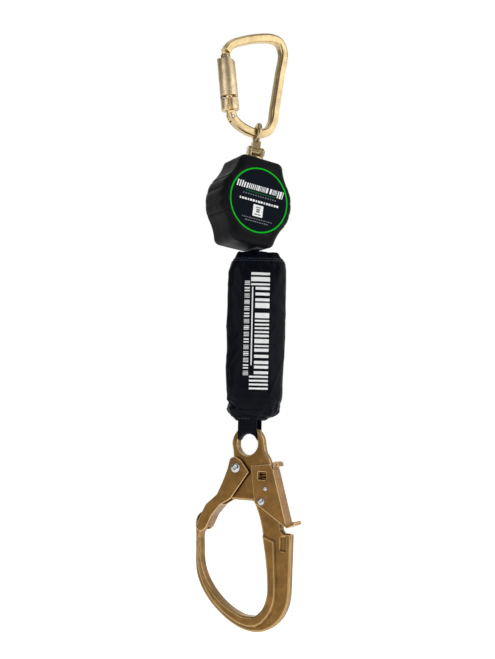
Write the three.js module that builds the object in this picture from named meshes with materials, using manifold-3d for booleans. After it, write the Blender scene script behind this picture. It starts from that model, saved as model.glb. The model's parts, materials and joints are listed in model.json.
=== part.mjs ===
// Self retracting lifeline: carabiner, swivel, web drum in its housing, shock pack and rebar hook.
// Millimetres, +Z up, front (label side) towards -Y. The origin is the top of the carabiner's inside,
// where it hangs on an anchor, and everything below hangs plumb under it.
import * as THREE from 'three';
import { mergeVertices } from 'three/addons/utils/BufferGeometryUtils.js';
import Module from 'manifold-3d';

const wasm = await Module();
wasm.setup();

// ---------------------------------------------------------------- driving dimensions
const GAP = 0.3; // clearance between fixed pieces that touch
const RUN = 0.4; // radial clearance of a turning fit

// carabiner
const carabinerBar = 10.5; // width of the bar, seen from the front
const carabinerDepth = 12;
const carabinerCorner = 3.4; // radius of the bar's corners
const carabinerSeat = 447; // height of the inside top over the outline's own datum
const gateLean = -7.33; // degrees, the gate's axis from plumb
const gateBar = 11.4; // diameter
const gateLength = 74;
const tangThickness = 4.4;
const hingePin = 3.4; // diameter
const sleeveOuter = 21;
const sleeveLength = 61.5;
const sleeveStart = 7.6; // above the hinge pin
const sleeveCavityWall = 1.5; // depth of the spring chamber beyond the bore
const sleeveSpringWire = 0.5; // radius
const guidePin = 3;
const latchPin = 1.8; // diameter
const tongueHalf = 1.6; // half the thickness of the nose's tongue

// swivel
const eyeDrop = -110.7; // height of the eye's centre, which is the middle of the carabiner's lower bar
const eyeInner = 14.6; // diameter
const eyeWire = 5.8;
const swivelYaw = -14; // degrees
const yokePinDrop = 22.5; // below the eye's centre
const yokePin = 5;
const earThickness = 3.9;
const earGap = 10.9;
const earWidth = 12;
const yokeBase = 5;
const stud = 9;

// housing
const yokeReach = 13.1; // from the yoke's pin down to the housing's top
const housingRadius = 45; // of the round middle
const endBlock = 5.8; // how far the end blocks reach beyond the round
const housingHalfTop = 26.5;
const housingWall = 3;
const housingBevel = 3.4;
const housingCorner = 4.5;
const housingFlare = 34.7; // degrees above the middle where the end blocks meet the round
const ribRadius = 3;
const ribOut = 1.3;
const ribAngles = [-27, -9, 9, 27];
const labelDiameter = 77;
const labelThickness = 0.6;
const labelRecess = 0.9;
const screwX = 24;
const screwInset = 6.8; // from the end blocks' ends
const screwShank = 3.4;
const screwHead = 6.4;
const bossRadius = 3.4;

// web and drum
const webWidth = 25;
const webThickness = 1.8;
const webSlack = 0.7; // each side, between the drum's flanges
const webOffset = 2.5; // the web's middle behind the housing's middle
const drumFlangeThickness = 2;
const drumCore = 21.5;
const drumCoreWall = 2;
const coilMargin = 1.7; // from the wound web out to the flange's edge
const shaft = 10;
const bushingWall = 1.7;
const arborWall = 1.2;
const springStrip = 0.8;
const springTurns = 5;
const ratchetRim = 3.4; // ring beyond the tooth roots
const ratchetTooth = 3; // height of a tooth
const ratchetTeeth = 12;
const ratchetPhase = 8; // degrees, so that a tooth space is where each pawl's nose comes
const ratchetThickness = 4.8;
const pawlReach = 6.6; // from a pawl's pivot out to the ratchet's tips
const pawlThickness = 4;
const frameThickness = 2.5;
const bridgeThickness = 3.5;
const frameWidth = 30;
const outletX = 15.3; // the web's outlet, off the housing's middle
const outletWidth = 8.6;
const outletLip = 1.5; // how far the web guide stands out of the housing
const mechanismDepth = 24; // flanges, ratchet, frame and walls beside the web

// shock pack
const packYaw = -30;
const packClearance = 1.56; // under the web guide
const packLength = 199.6;
const packHalfWidth = 30.5;
const packRoom = 3; // the pack's depth beyond the web's width
const packRound = 8; // rounding of its long edges
const packWall = 1.2;
const coreWidth = 26;
const coreDepth = 13;
const coreLength = 150;

// hook
const hookYaw = -57;
const hookEyeReach = 22.6; // from the pack down to the centre of the hook's eye
const hookEyeInner = 26;
const hookEyeOuter = 41;
const hookWeb = 9.5; // thickness of the plate, the eye and the outer rim
const hookFlange = 14; // thickness of the inner rim
const channelSteel = 2;
const gateRivet = [-12.2, -27.6];
const lockRivet = [21.4, -63.6];
const stopRivet = [26.4, -49.2];
const gateRivetShank = 7;
const lockRivetShank = 5.4;
const stopRivetShank = 3;

// ---------------------------------------------------------------- sizes that follow
const housingHalfHeight = housingRadius + endBlock;
const screwZ = housingHalfHeight - screwInset;
const latchHeight = gateLength - latchPin / 2 - 0.8; // over the gate's hinge
const drumDrop = yokePinDrop + yokeReach + housingHalfHeight; // drum axis below the eye's centre
const housingDepth = webWidth + mechanismDepth;
const drumFlange = housingRadius - housingWall - 2;
const coilRadius = drumFlange - coilMargin;
const ratchetRoot = housingRadius - housingWall - 1 - ratchetRim;
const pawlPivot = ratchetRoot - ratchetTooth - pawlReach;
const packDepth = webWidth + packRoom;
const outletReach = drumDrop + housingHalfHeight + outletLip; // outlet below the eye's centre
const housingLean = (180 / Math.PI) * Math.atan2(outletX, outletReach); // from plumb
const packTop = eyeDrop - Math.hypot(outletX, outletReach) - packClearance;
const packBottom = packTop - packLength;
const hookEyeDrop = packBottom - hookEyeReach; // centre of the hook's eye
const channelInner = hookFlange + 2 * GAP; // between the side plates of the gate and of the lock

// ---------------------------------------------------------------- materials
const material = (color, roughness, metalness) =>
  new THREE.MeshStandardMaterial({ color, roughness, metalness });
const goldSteel = () => material(0xe0c48e, 0.35, 0.9);
const hookSteel = () => material(0x9c7a48, 0.42, 0.85);
const sleeveAlloy = () => material(0xcdbb97, 0.4, 0.8);
const zincSteel = () => material(0xb9bcc0, 0.35, 0.9);
const springSteel = () => material(0x70757c, 0.4, 0.9);
const bronze = () => material(0xa9783f, 0.45, 0.8);
const blackPlastic = () => material(0x222325, 0.6, 0);
const labelFilm = () => material(0x0c1420, 0.4, 0);
const drumPlastic = () => material(0x3b3f44, 0.55, 0);
const blackWeb = () => material(0x14161c, 0.9, 0);
const packFabric = () => material(0x11141c, 0.85, 0);

// ---------------------------------------------------------------- solids
const object = new THREE.Group();
const rad = THREE.MathUtils.degToRad;

/** A closed geometry as a solid that can be joined and cut. */
function solid(geometry) {
  let bare = geometry.index ? geometry.toNonIndexed() : geometry.clone();
  bare.deleteAttribute('normal');
  bare.deleteAttribute('uv');
  bare = mergeVertices(bare, 1e-4);
  const mesh = new wasm.Mesh({
    numProp: 3,
    vertProperties: new Float32Array(bare.attributes.position.array),
    triVerts: new Uint32Array(bare.index.array),
  });
  return new wasm.Manifold(mesh);
}

/** The geometry of a solid. */
function geometryOf(body) {
  const mesh = body.getMesh();
  const geometry = new THREE.BufferGeometry();
  geometry.setAttribute('position', new THREE.BufferAttribute(mesh.vertProperties, 3));
  geometry.setIndex(new THREE.BufferAttribute(mesh.triVerts, 1));
  return geometry;
}

const join = (bodies) => bodies.reduce((all, next) => all.add(next));
const cut = (body, tools) => tools.reduce((all, next) => all.subtract(next), body);

/** Adds a sub-part to a group; shape is a solid or a geometry. */
function part(name, group, shape, look) {
  const mesh = new THREE.Mesh(shape.getMesh ? geometryOf(shape) : shape, look);
  mesh.name = name;
  group.add(mesh);
  return mesh;
}

/** A shape drawn in X and Z, as a geometry from yFront to yBack with rounded edges. */
function plate(shape, yFront, yBack, bevel = 0, rounds = 2, curveSegments = 8) {
  const geometry = new THREE.ExtrudeGeometry(shape, {
    depth: yBack - yFront - 2 * bevel,
    bevelEnabled: bevel > 0,
    bevelThickness: bevel,
    bevelSize: bevel,
    bevelOffset: -bevel,
    bevelSegments: rounds,
    curveSegments,
  });
  return geometry.rotateX(Math.PI / 2).translate(0, yBack - bevel, 0);
}
const plateSolid = (...values) => solid(plate(...values));

/** A box given by its low and high corners. */
function box(low, high) {
  const size = high.map((value, i) => value - low[i]);
  const middle = high.map((value, i) => (value + low[i]) / 2);
  return solid(new THREE.BoxGeometry(...size).translate(...middle));
}

/** A cylinder along Y (the drum's and the rivets' direction) at x, z. */
function rodY(radius, yFront, yBack, x = 0, z = 0, sides = 32) {
  const geometry = new THREE.CylinderGeometry(radius, radius, yBack - yFront, sides);
  return solid(geometry.translate(x, (yFront + yBack) / 2, z));
}

/** A cylinder along Z at x, y. */
function rodZ(radius, zLow, zHigh, x = 0, y = 0, sides = 32) {
  const geometry = new THREE.CylinderGeometry(radius, radius, zHigh - zLow, sides);
  return solid(geometry.rotateX(Math.PI / 2).translate(x, y, (zLow + zHigh) / 2));
}

/** A cylinder along X at y, z. */
function rodX(radius, xLow, xHigh, y = 0, z = 0, sides = 24) {
  const geometry = new THREE.CylinderGeometry(radius, radius, xHigh - xLow, sides);
  return solid(geometry.rotateZ(Math.PI / 2).translate((xLow + xHigh) / 2, y, z));
}

const tubeY = (outer, inner, yFront, yBack, sides = 48) =>
  cut(rodY(outer, yFront, yBack, 0, 0, sides), [rodY(inner, yFront - 1, yBack + 1, 0, 0, sides)]);

/** A closed outline through points: [x, z] pairs, where a list of pairs is a smooth stretch. */
function outline(stretches) {
  const shape = new THREE.Shape();
  stretches.forEach((stretch, i) => {
    const points = Array.isArray(stretch[0]) ? stretch : [stretch];
    if (i === 0) shape.moveTo(...points[0]);
    else shape.lineTo(...points[0]);
    if (points.length > 1) shape.splineThru(points.slice(1).map((p) => new THREE.Vector2(...p)));
  });
  shape.closePath();
  return shape;
}

/** A wire of round section along a smooth line of points. */
function wire(points, radius, steps, sides = 8) {
  const circle = new THREE.Shape().absarc(0, 0, radius, 0, 2 * Math.PI);
  const path = new THREE.CatmullRomCurve3(points.map((p) => new THREE.Vector3(...p)));
  return new THREE.ExtrudeGeometry(circle, { steps, curveSegments: sides / 2, extrudePath: path });
}

/** A helical spring's wire round the Z axis. */
function coil(radius, wireRadius, zLow, zHigh, turns, perTurn = 10) {
  const points = [];
  const count = turns * perTurn;
  for (let i = 0; i <= count; i += 1) {
    const angle = (2 * Math.PI * i) / perTurn;
    const z = zLow + ((zHigh - zLow) * i) / count;
    points.push([radius * Math.cos(angle), radius * Math.sin(angle), z]);
  }
  return wire(points, wireRadius, count, 6);
}

/** A group at a place, turned about Y (lean) or Z (yaw), in degrees. */
function groupAt(parent, [x, y, z], { lean = 0, yaw = 0 } = {}) {
  const group = new THREE.Group();
  group.position.set(x, y, z);
  group.rotation.set(0, rad(lean), rad(yaw));
  parent.add(group);
  return group;
}

/** A band of constant width along a smooth centreline. */
function band(centre, width, steps) {
  const path = new THREE.SplineCurve(centre.map((p) => new THREE.Vector2(...p)));
  const left = [];
  const right = [];
  for (let i = 0; i <= steps; i += 1) {
    const point = path.getPointAt(i / steps);
    const along = path.getTangentAt(i / steps);
    left.push([point.x - (along.y * width) / 2, point.y + (along.x * width) / 2]);
    right.unshift([point.x + (along.y * width) / 2, point.y - (along.x * width) / 2]);
  }
  return outline([...left, ...right]);
}

// ---------------------------------------------------------------- carabiner
// The bar's centreline, from the nose over the top, down the spine and along the bottom to the hinge.
const hingePoint = [-35.6, 0, 350 - carabinerSeat];
const carabinerLine = [
  [-45.2, 426.6], [-39.2, 435.3], [-23.8, 443.9], [-0.2, 452.3], [15.6, 455.4], [26.6, 453.2], [32.8, 441.6],
  [28.8, 411.5], [22.7, 370.6], [20.1, 352.5], [12.6, 340.6], [-2, 336.3], [-21.5, 340.6], [-33, 348.4],
  [-36.1, 355],
].map(([x, z]) => [x, z - carabinerSeat]);

const carabiner = groupAt(object, [0, 0, 0]);
const gateGroup = groupAt(carabiner, hingePoint, { lean: gateLean });

/** A tool made in the gate's own frame, moved to the carabiner's. */
const fromGate = (tool) =>
  tool.rotate([0, gateLean, 0]).translate(hingePoint);

/** The bar's section: a rectangle with well rounded corners. */
function barSection() {
  const [w, h, r] = [carabinerDepth / 2, carabinerBar / 2, carabinerCorner];
  const shape = new THREE.Shape();
  shape.moveTo(-w, -h + r);
  shape.absarc(-w + r, -h + r, r, Math.PI, 1.5 * Math.PI);
  shape.absarc(w - r, -h + r, r, 1.5 * Math.PI, 2 * Math.PI);
  shape.absarc(w - r, h - r, r, 0, 0.5 * Math.PI);
  shape.absarc(-w + r, h - r, r, 0.5 * Math.PI, Math.PI);
  shape.closePath();
  return shape;
}

function carabinerBody() {
  const frame = solid(new THREE.ExtrudeGeometry(barSection(), {
    steps: 56,
    curveSegments: 1,
    extrudePath: new THREE.CatmullRomCurve3(carabinerLine.map(([x, z]) => new THREE.Vector3(x, 0, z))),
  }));
  const slot = tangThickness / 2 + GAP;
  // just over the arc that the sleeve's top edge swings through
  const tongueEnd = Math.hypot(sleeveStart + sleeveLength, sleeveOuter / 2) + GAP;
  const tongue = box([-4.2, -tongueHalf, tongueEnd], [4.2, tongueHalf, gateLength + 3]);
  const notch = box([-latchPin / 2 - 0.9, -3, tongueEnd + 0.9], [6, 3, latchHeight + latchPin / 2 + GAP]);
  const bare = cut(frame, [
    fromGate(box([-9, -slot, -6.2], [9, slot, 9])), // the tang's slot
    fromGate(box([-12, -9, 5], [12, 9, 20])), // square end under the gate
    fromGate(box([-12, -9, gateLength - 12], [12, 9, gateLength + 0.8])), // square nose over the gate
    fromGate(rodY(hingePin / 2 + GAP, -9, 9, 0, 0, 16)),
  ]);
  return bare.add(fromGate(tongue.subtract(notch)));
}
part('carabiner_body', carabiner, carabinerBody(), goldSteel());
part('gate_hinge_pin', gateGroup, rodY(hingePin / 2, -5.8, 5.8, 0, 0, 16), zincSteel());

// The gate, in its own frame: the hinge pin at the origin and +Z along the gate.
const guideHeight = sleeveStart + 15;
const boreEnd = guideHeight - guidePin / 2 - 1.6;
const springRoom = [sleeveStart + 24, sleeveStart + 52];
function gate() {
  const bar = rodZ(gateBar / 2, 8, gateLength, 0, 0, 28);
  const tang = plateSolid(new THREE.Shape().absarc(0, 0, 4.5, 0, 2 * Math.PI), -tangThickness / 2,
    tangThickness / 2);
  const neck = box([-4.5, -tangThickness / 2, 0], [4.5, tangThickness / 2, 9]);
  return cut(join([bar, tang, neck]), [
    rodY(hingePin / 2 + RUN, -9, 9, 0, 0, 20),
    box([-9, -tongueHalf - 0.5, gateLength - 8], [9, tongueHalf + 0.5, gateLength + 1]), // the tongue's slot
    rodY(latchPin / 2 + GAP, -9, 9, 0, latchHeight, 12),
    rodX(guidePin / 2 + GAP, -9, 9, 0, guideHeight, 12),
    rodZ(1.5, -9, boreEnd, -3.1, 0, 12), // plunger's bore
  ]);
}
part('carabiner_gate', gateGroup, gate(), goldSteel());
const latchHalf = gateBar / 2 - 0.8;
part('gate_latch_pin', gateGroup, rodY(latchPin / 2, -latchHalf, latchHalf, 0, latchHeight, 12), zincSteel());
part('sleeve_guide_pin', gateGroup,
  rodX(guidePin / 2, 0.9 - sleeveOuter / 2, gateBar / 2 - 0.7, 0, guideHeight, 12), zincSteel());
part('gate_plunger', gateGroup, rodZ(1.1, -1.6, 8, -3.1, 0, 12), zincSteel());
part('gate_spring', gateGroup,
  coil(0.85, 0.22, 8.8, boreEnd - 0.8, 4, 8).translate(-3.1, 0, 0), springSteel());

const sleeveBore = gateBar / 2 + RUN;
/** The twist-lock barrel round the gate. */
function lockSleeve() {
  const top = sleeveStart + sleeveLength;
  const outer = sleeveOuter / 2;
  const half = sleeveLength / 2;
  const profile = [
    [0, -half], [outer - 0.8, -half], [outer, -half + 0.8],
    [outer, half - 0.8], [outer - 0.8, half], [0, half],
  ].map((p) => new THREE.Vector2(...p));
  const barrel = solid(new THREE.LatheGeometry(profile, 40).rotateX(Math.PI / 2)
    .translate(0, 0, sleeveStart + half));
  const slotHalf = guidePin / 2 + RUN;
  const window = [];
  for (let turn = -10; turn <= 100; turn += 10) {
    window.push(rodX(slotHalf, -14, 0, 0, guideHeight, 12).rotate([0, 0, turn]));
  }
  return cut(barrel, [
    rodZ(sleeveBore, sleeveStart - 1, top + 1, 0, 0, 32),
    rodZ(sleeveBore + sleeveCavityWall, springRoom[0], springRoom[1], 0, 0, 32),
    ...window,
    box([-14, -slotHalf, sleeveStart - 1], [0, slotHalf, guideHeight]).rotate([0, 0, 62]),
    rodY(6.5, -14, 0, 6.4, top + 1.5, 24), // U-notch that lets the nose pass when turned
    rodY(7.5, -14, 0, -7.5, top + 5.5, 24), // scallop beside it
    box([-14, -14, sleeveStart - 1], [-2, -4, sleeveStart + 4]), // relief over the hinge
  ]);
}
const sleeveGroup = groupAt(gateGroup, [0, 0, 0]);
part('lock_sleeve', sleeveGroup, lockSleeve(), sleeveAlloy());
part('sleeve_spring', sleeveGroup, coil(sleeveBore + sleeveSpringWire + 0.1, sleeveSpringWire,
  springRoom[0] + 1.2, springRoom[1] - 1.2, 5, 10), springSteel());

// ---------------------------------------------------------------- swivel
const hang = groupAt(object, [0, 0, eyeDrop], { lean: housingLean });
const swivel = groupAt(hang, [0, 0, 0], { yaw: swivelYaw });
const eyeRadius = (eyeInner + eyeWire) / 2;

function swivelEye() {
  const ring = solid(new THREE.TorusGeometry(eyeRadius, eyeWire / 2, 10, 28).rotateY(Math.PI / 2));
  const half = earGap / 2 - RUN;
  const lug = join([
    rodX(earWidth / 2, -half, half, 0, -yokePinDrop, 32),
    box([-half, -4.8, -yokePinDrop], [half, 4.8, -eyeRadius]),
  ]);
  const hole = rodX(eyeInner / 2, -20, 20, 0, 0, 40);
  return cut(ring.add(lug.subtract(hole)), [rodX(yokePin / 2 + RUN, -20, 20, 0, -yokePinDrop, 24)]);
}
part('swivel_eye', swivel, swivelEye(), goldSteel());

const housingTop = -drumDrop + housingHalfHeight; // in the hanging frame
const bridgeTop = housingTop - housingWall - 0.6;
const bridgeBottom = bridgeTop - bridgeThickness;
const baseBottom = housingTop + 0.6;
const washerThickness = 0.8;
const nutThickness = 1.8;

function swivelYoke() {
  const inner = earGap / 2;
  const outer = inner + earThickness;
  const ears = [-1, 1].map((side) => {
    const low = side > 0 ? inner : -outer;
    const high = side > 0 ? outer : -inner;
    return join([
      rodX(earWidth / 2, low, high, 0, -yokePinDrop, 32),
      box([low, -earWidth / 2, baseBottom + 1], [high, earWidth / 2, -yokePinDrop]),
    ]);
  });
  const base = rodZ(outer + 0.6, baseBottom, baseBottom + yokeBase, 0, 0, 40);
  const studEnd = bridgeBottom - washerThickness - nutThickness - 2 * GAP;
  const shank = rodZ(stud / 2, studEnd, baseBottom + 1, 0, 0, 32);
  return cut(join([...ears, base, shank]), [
    rodX(yokePin / 2 + GAP, -20, 20, 0, -yokePinDrop, 24),
    box([-inner, -10, baseBottom + yokeBase], [inner, 10, -yokePinDrop + 10]),
  ]);
}
part('swivel_yoke', swivel, swivelYoke(), goldSteel());
const pinHalf = earGap / 2 + earThickness + 0.2;
const pinHead = rodX(yokePin / 2 + 1.4, pinHalf + GAP, pinHalf + 1.6, 0, -yokePinDrop, 24);
const pinShank = rodX(yokePin / 2, -pinHalf, pinHalf + 1, 0, -yokePinDrop, 24);
part('yoke_pin', swivel, join([pinShank, pinHead]), zincSteel());
const ringUnder = (outer, top, thickness) => rodZ(outer, top - thickness, top, 0, 0, 24)
  .subtract(rodZ(stud / 2 + GAP, top - thickness - 1, top + 1, 0, 0, 24));
part('swivel_washer', swivel, ringUnder(stud / 2 + 3.5, bridgeBottom - GAP, washerThickness), bronze());
part('swivel_nut', swivel, ringUnder(stud / 2 + 3, bridgeBottom - washerThickness - 2 * GAP, nutThickness),
  zincSteel());

// ---------------------------------------------------------------- housing
// In the housing's own frame the drum's axis is the origin and the label faces -Y.
const housing = groupAt(hang, [0, 0, -drumDrop]);
const frontFace = -housingDepth / 2;
const rearFace = housingDepth / 2;

/** The housing's outline: a round with a flat-ended block above and below, drawn inset by a margin. */
function housingShape(inset = 0) {
  const radius = housingRadius - inset;
  const halfTop = housingHalfTop - inset;
  const height = housingHalfHeight - inset;
  const corner = Math.max(housingCorner - inset, 1);
  const shape = new THREE.Shape();
  const flare = rad(housingFlare);
  const foot = [radius * Math.cos(flare), radius * Math.sin(flare)];
  const shoulder = [halfTop + 2.2, height - corner];
  shape.moveTo(-halfTop + corner, height);
  shape.lineTo(halfTop - corner + 1, height);
  shape.quadraticCurveTo(halfTop + 1, height, ...shoulder);
  shape.lineTo(...foot);
  shape.absarc(0, 0, radius, flare, -flare, true);
  shape.lineTo(shoulder[0], -shoulder[1]);
  shape.quadraticCurveTo(halfTop + 1, -height, halfTop - corner + 1, -height);
  shape.lineTo(-halfTop + corner - 1, -height);
  shape.quadraticCurveTo(-halfTop - 1, -height, -shoulder[0], -shoulder[1]);
  shape.lineTo(-foot[0], -foot[1]);
  shape.absarc(0, 0, radius, Math.PI + flare, Math.PI - flare, true);
  shape.lineTo(-shoulder[0], shoulder[1]);
  shape.quadraticCurveTo(-halfTop - 1, height, -halfTop + corner, height);
  return shape;
}

const screwPlaces = [[-screwX, screwZ], [screwX, screwZ], [-screwX, -screwZ], [screwX, -screwZ]];
const outletHalfDepth = webWidth / 2 + 2.2;
const outletBottom = -housingHalfHeight - outletLip;
const outletTop = -housingHalfHeight + housingWall + 3.2;

/** One half of the housing; side is -1 for the front and 1 for the rear. */
function cover(side) {
  const face = (housingDepth / 2) * side;
  const split = (GAP / 2) * side;
  const outer = plateSolid(housingShape(), frontFace, rearFace, housingBevel, 2, 6);
  const ribHalf = housingDepth / 2 - housingBevel - 2;
  const ribCentre = housingRadius + ribOut - ribRadius;
  const ribs = ribAngles.flatMap((angle) => [angle, 180 - angle]).map((angle) =>
    rodY(ribRadius, -ribHalf, ribHalf,
      ribCentre * Math.cos(rad(angle)), ribCentre * Math.sin(rad(angle)), 12));
  const hollow = plateSolid(housingShape(housingWall),
    frontFace + housingWall, rearFace - housingWall, 0, 1, 6);
  const bosses = screwPlaces.map(([x, z]) => rodY(bossRadius, frontFace + 1, rearFace - 1, x, z, 16));
  const shankHoles = screwPlaces.map(([x, z]) =>
    rodY(screwShank / 2 + GAP, frontFace + 4, rearFace + 1, x, z, 12));
  const headHoles = screwPlaces.map(([x, z]) =>
    rodY(screwHead / 2 + GAP, rearFace - 4.2, rearFace + 1, x, z, 16));
  const label = rodY(labelDiameter / 2 + GAP, Math.min(face, face - labelRecess * side),
    Math.max(face, face - labelRecess * side) + 0.001, 0, 0, 48);
  const outlet = box([outletX - outletWidth / 2 - GAP, webOffset - outletHalfDepth - GAP, -70],
    [outletX + outletWidth / 2 + GAP, webOffset + outletHalfDepth + GAP, -40]);
  const otherHalf = side < 0
    ? box([-80, split, -80], [80, 80, 80])
    : box([-80, -80, -80], [80, split, 80]);
  return cut(join([cut(join([outer, ...ribs]), [hollow]), ...bosses]), [
    ...shankHoles, ...headHoles, label, outlet, otherHalf,
    rodZ(stud / 2 + 2.4, 30, 60, 0, 0, 32), // swivel's hole
    rodY(drumFlange + 0.8, frontFace + housingWall, rearFace - housingWall, 0, 0, 48),
  ]);
}
part('front_cover', housing, cover(-1), blackPlastic());
part('rear_cover', housing, cover(1), blackPlastic());
const label = (y) => rodY(labelDiameter / 2, y, y + labelThickness, 0, 0, 48);
part('front_label', housing, label(frontFace + GAP / 2), labelFilm());
part('rear_label', housing, label(rearFace - GAP / 2 - labelThickness), labelFilm());

const screwEnd = rearFace - 4.2 + GAP;
screwPlaces.forEach(([x, z], i) => {
  const head = rodY(screwHead / 2, screwEnd, screwEnd + 2.6, x, z, 16);
  const recess = rodY(1.5, screwEnd + 1.2, screwEnd + 3, x, z, 6);
  const shank = rodY(screwShank / 2, frontFace + 5, screwEnd + 1, x, z, 12);
  part(`cover_screw_${i + 1}`, housing, cut(head.add(shank), [recess]), zincSteel());
});

// load frame: one bent strap, its two sides carry the drum's shaft and its bridge the swivel
const frameOut = rearFace - housingWall - GAP;
const bridgeLevel = bridgeTop + drumDrop;
function loadFrame() {
  const half = frameWidth / 2;
  const side = new THREE.Shape();
  side.moveTo(-half, bridgeLevel - 0.5);
  side.lineTo(-half, 0);
  side.absarc(0, 0, half, Math.PI, 2 * Math.PI);
  side.lineTo(half, bridgeLevel - 0.5);
  side.closePath();
  const front = plateSolid(side, -frameOut, -frameOut + frameThickness, 0, 1, 12);
  const rear = plateSolid(side, frameOut - frameThickness, frameOut, 0, 1, 12);
  const bridge = box([-half, -frameOut, bridgeLevel - bridgeThickness], [half, frameOut, bridgeLevel]);
  return cut(join([front, rear, bridge]), [
    rodY(shaft / 2 + GAP, -30, 30),
    rodZ(stud / 2 + RUN, 30, 60),
  ]);
}
part('load_frame', housing, loadFrame(), zincSteel());
part('drum_shaft', housing, rodY(shaft / 2, -frameOut, frameOut), zincSteel());

// drum, from the ratchet side (front) to the spring cover (rear)
const webFront = webOffset - webWidth / 2 - webSlack;
const webRear = webOffset + webWidth / 2 + webSlack;
const drumFront = webFront - drumFlangeThickness;
const drumRear = webRear + drumFlangeThickness;
const chamber = drumCore - drumCoreWall;
const coverThickness = 2;
const bushingOuter = shaft / 2 + RUN / 2 + bushingWall;
const drumGroup = groupAt(housing, [0, 0, 0]);

function drum() {
  const core = rodY(drumCore, drumFront, drumRear, 0, 0, 36);
  const flanges = [
    rodY(drumFlange, drumFront, webFront, 0, 0, 48),
    rodY(drumFlange, webRear, drumRear, 0, 0, 48),
  ];
  const room = rodY(chamber, webFront, drumRear + 1, 0, 0, 36);
  const bore = rodY(bushingOuter + GAP, drumFront - 1, webFront + 1, 0, 0, 32);
  const pins = pawlAngles.map((angle) => rodY(pawlPin / 2 + GAP, drumFront - 1, webFront + 0.5,
    pawlPivot * Math.cos(rad(angle)), pawlPivot * Math.sin(rad(angle)), 16));
  return cut(join([core, ...flanges]), [room, bore, ...pins]);
}
const pawlAngles = [75, 255];
const pawlPin = 4;
part('drum', drumGroup, drum(), drumPlastic());
part('front_bushing', drumGroup,
  tubeY(bushingOuter, shaft / 2 + RUN / 2, drumFront + 0.1, webFront - 0.1, 24), bronze());
part('spring_cover', drumGroup,
  tubeY(chamber - GAP, bushingOuter + GAP, drumRear - coverThickness, drumRear, 36),
  zincSteel());
part('rear_bushing', drumGroup,
  tubeY(bushingOuter, shaft / 2 + RUN / 2, drumRear - coverThickness + 0.1, drumRear - 0.1, 24), bronze());
part('web_coil', drumGroup,
  tubeY(coilRadius, drumCore + GAP, webOffset - webWidth / 2, webOffset + webWidth / 2, 40),
  blackWeb());

// power spring and the arbor it is hooked to
const arborOuter = shaft / 2 + GAP + arborWall;
const springFront = webFront + 1;
const springRear = drumRear - coverThickness - 1;
part('spring_arbor', housing, tubeY(arborOuter, shaft / 2 + GAP, springFront, springRear, 24), zincSteel());
function powerSpring() {
  const first = arborOuter + 0.6;
  const last = chamber - springStrip - 0.5;
  const count = springTurns * 16;
  const edge = (extra) => Array.from({ length: count + 1 }, (_, i) => {
    const angle = (2 * Math.PI * i) / 16;
    const radius = first + ((last - first) * i) / count + extra;
    return [radius * Math.cos(angle), radius * Math.sin(angle)];
  });
  return plate(outline([...edge(0), ...edge(springStrip).reverse()]), springFront, springRear);
}
part('power_spring', drumGroup, powerSpring(), springSteel());

// ratchet ring and the two pawls that swing out into it
const ratchetRear = drumFront - 0.5;
const ratchetFront = ratchetRear - ratchetThickness;
function ratchetRing() {
  const ring = new THREE.Shape().absarc(0, 0, ratchetRoot + ratchetRim, 0, 2 * Math.PI);
  const teeth = [];
  for (let i = 0; i < ratchetTeeth; i += 1) {
    const start = rad((360 / ratchetTeeth) * i + ratchetPhase);
    const step = rad(360 / ratchetTeeth);
    const at = (radius, share) => {
      const angle = start + step * share;
      return [radius * Math.cos(angle), radius * Math.sin(angle)];
    };
    const tip = ratchetRoot - ratchetTooth;
    teeth.push(at(tip, 0), at(tip, 0.12), at(ratchetRoot, 0.16), at(ratchetRoot, 0.6));
  }
  ring.holes.push(outline(teeth));
  return plate(ring, ratchetFront, ratchetRear, 0, 1, 32);
}
part('ratchet_ring', housing, ratchetRing(), zincSteel());

const pawlRear = drumFront - 0.7;
const pawlFront = pawlRear - pawlThickness;
/** A pawl in its own frame: the pivot at the origin, the nose towards +X, tucked in at rest. */
function pawl() {
  const arm = outline([
    [[-6, 2], [-4.5, 4], [0, 4.8], [6, 3.4], [12, 0.4]], [15, -1.6], [15.4, -4.2], [12, -5],
    [[6, -4.6], [0, -4.8], [-4.5, -3], [-6, 0]],
  ]);
  return cut(plateSolid(arm, pawlFront, pawlRear, 0, 1, 3), [rodY(pawlPin / 2 + RUN, -30, 0, 0, 0, 20)]);
}
pawlAngles.forEach((angle, i) => {
  const place = [pawlPivot * Math.cos(rad(angle)), 0, pawlPivot * Math.sin(rad(angle))];
  const seat = groupAt(drumGroup, place, { lean: 90 - angle });
  part(`pawl_${i + 1}`, seat, pawl(), zincSteel());
  part(`pawl_pin_${i + 1}`, seat, rodY(pawlPin / 2, pawlFront, webFront - 0.2, 0, 0, 16), zincSteel());
});

// the web from the coil to the outlet, and the outlet
const leadRadius = coilRadius + GAP + webThickness / 2;
function webLead() {
  const end = [outletX, outletTop + 1.5];
  const reach = Math.hypot(...end);
  const turn = Math.atan2(end[1], end[0]) + Math.acos(leadRadius / reach);
  const onCoil = (angle) => new THREE.Vector2(leadRadius * Math.cos(angle), leadRadius * Math.sin(angle));
  const path = new THREE.SplineCurve([
    onCoil(turn + 0.5),
    onCoil(turn + 0.25),
    onCoil(turn),
    new THREE.Vector2(...end).lerp(onCoil(turn), 0.45),
    new THREE.Vector2(...end),
    new THREE.Vector2(outletX, (outletTop + outletBottom) / 2),
    new THREE.Vector2(outletX, outletBottom + 1.2),
  ]);
  const centre = path.getPoints(20).map((p) => [p.x, p.y]);
  return plate(band(centre, webThickness, 24), webOffset - webWidth / 2, webOffset + webWidth / 2);
}
part('web_lead', housing, webLead(), blackWeb());

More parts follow.
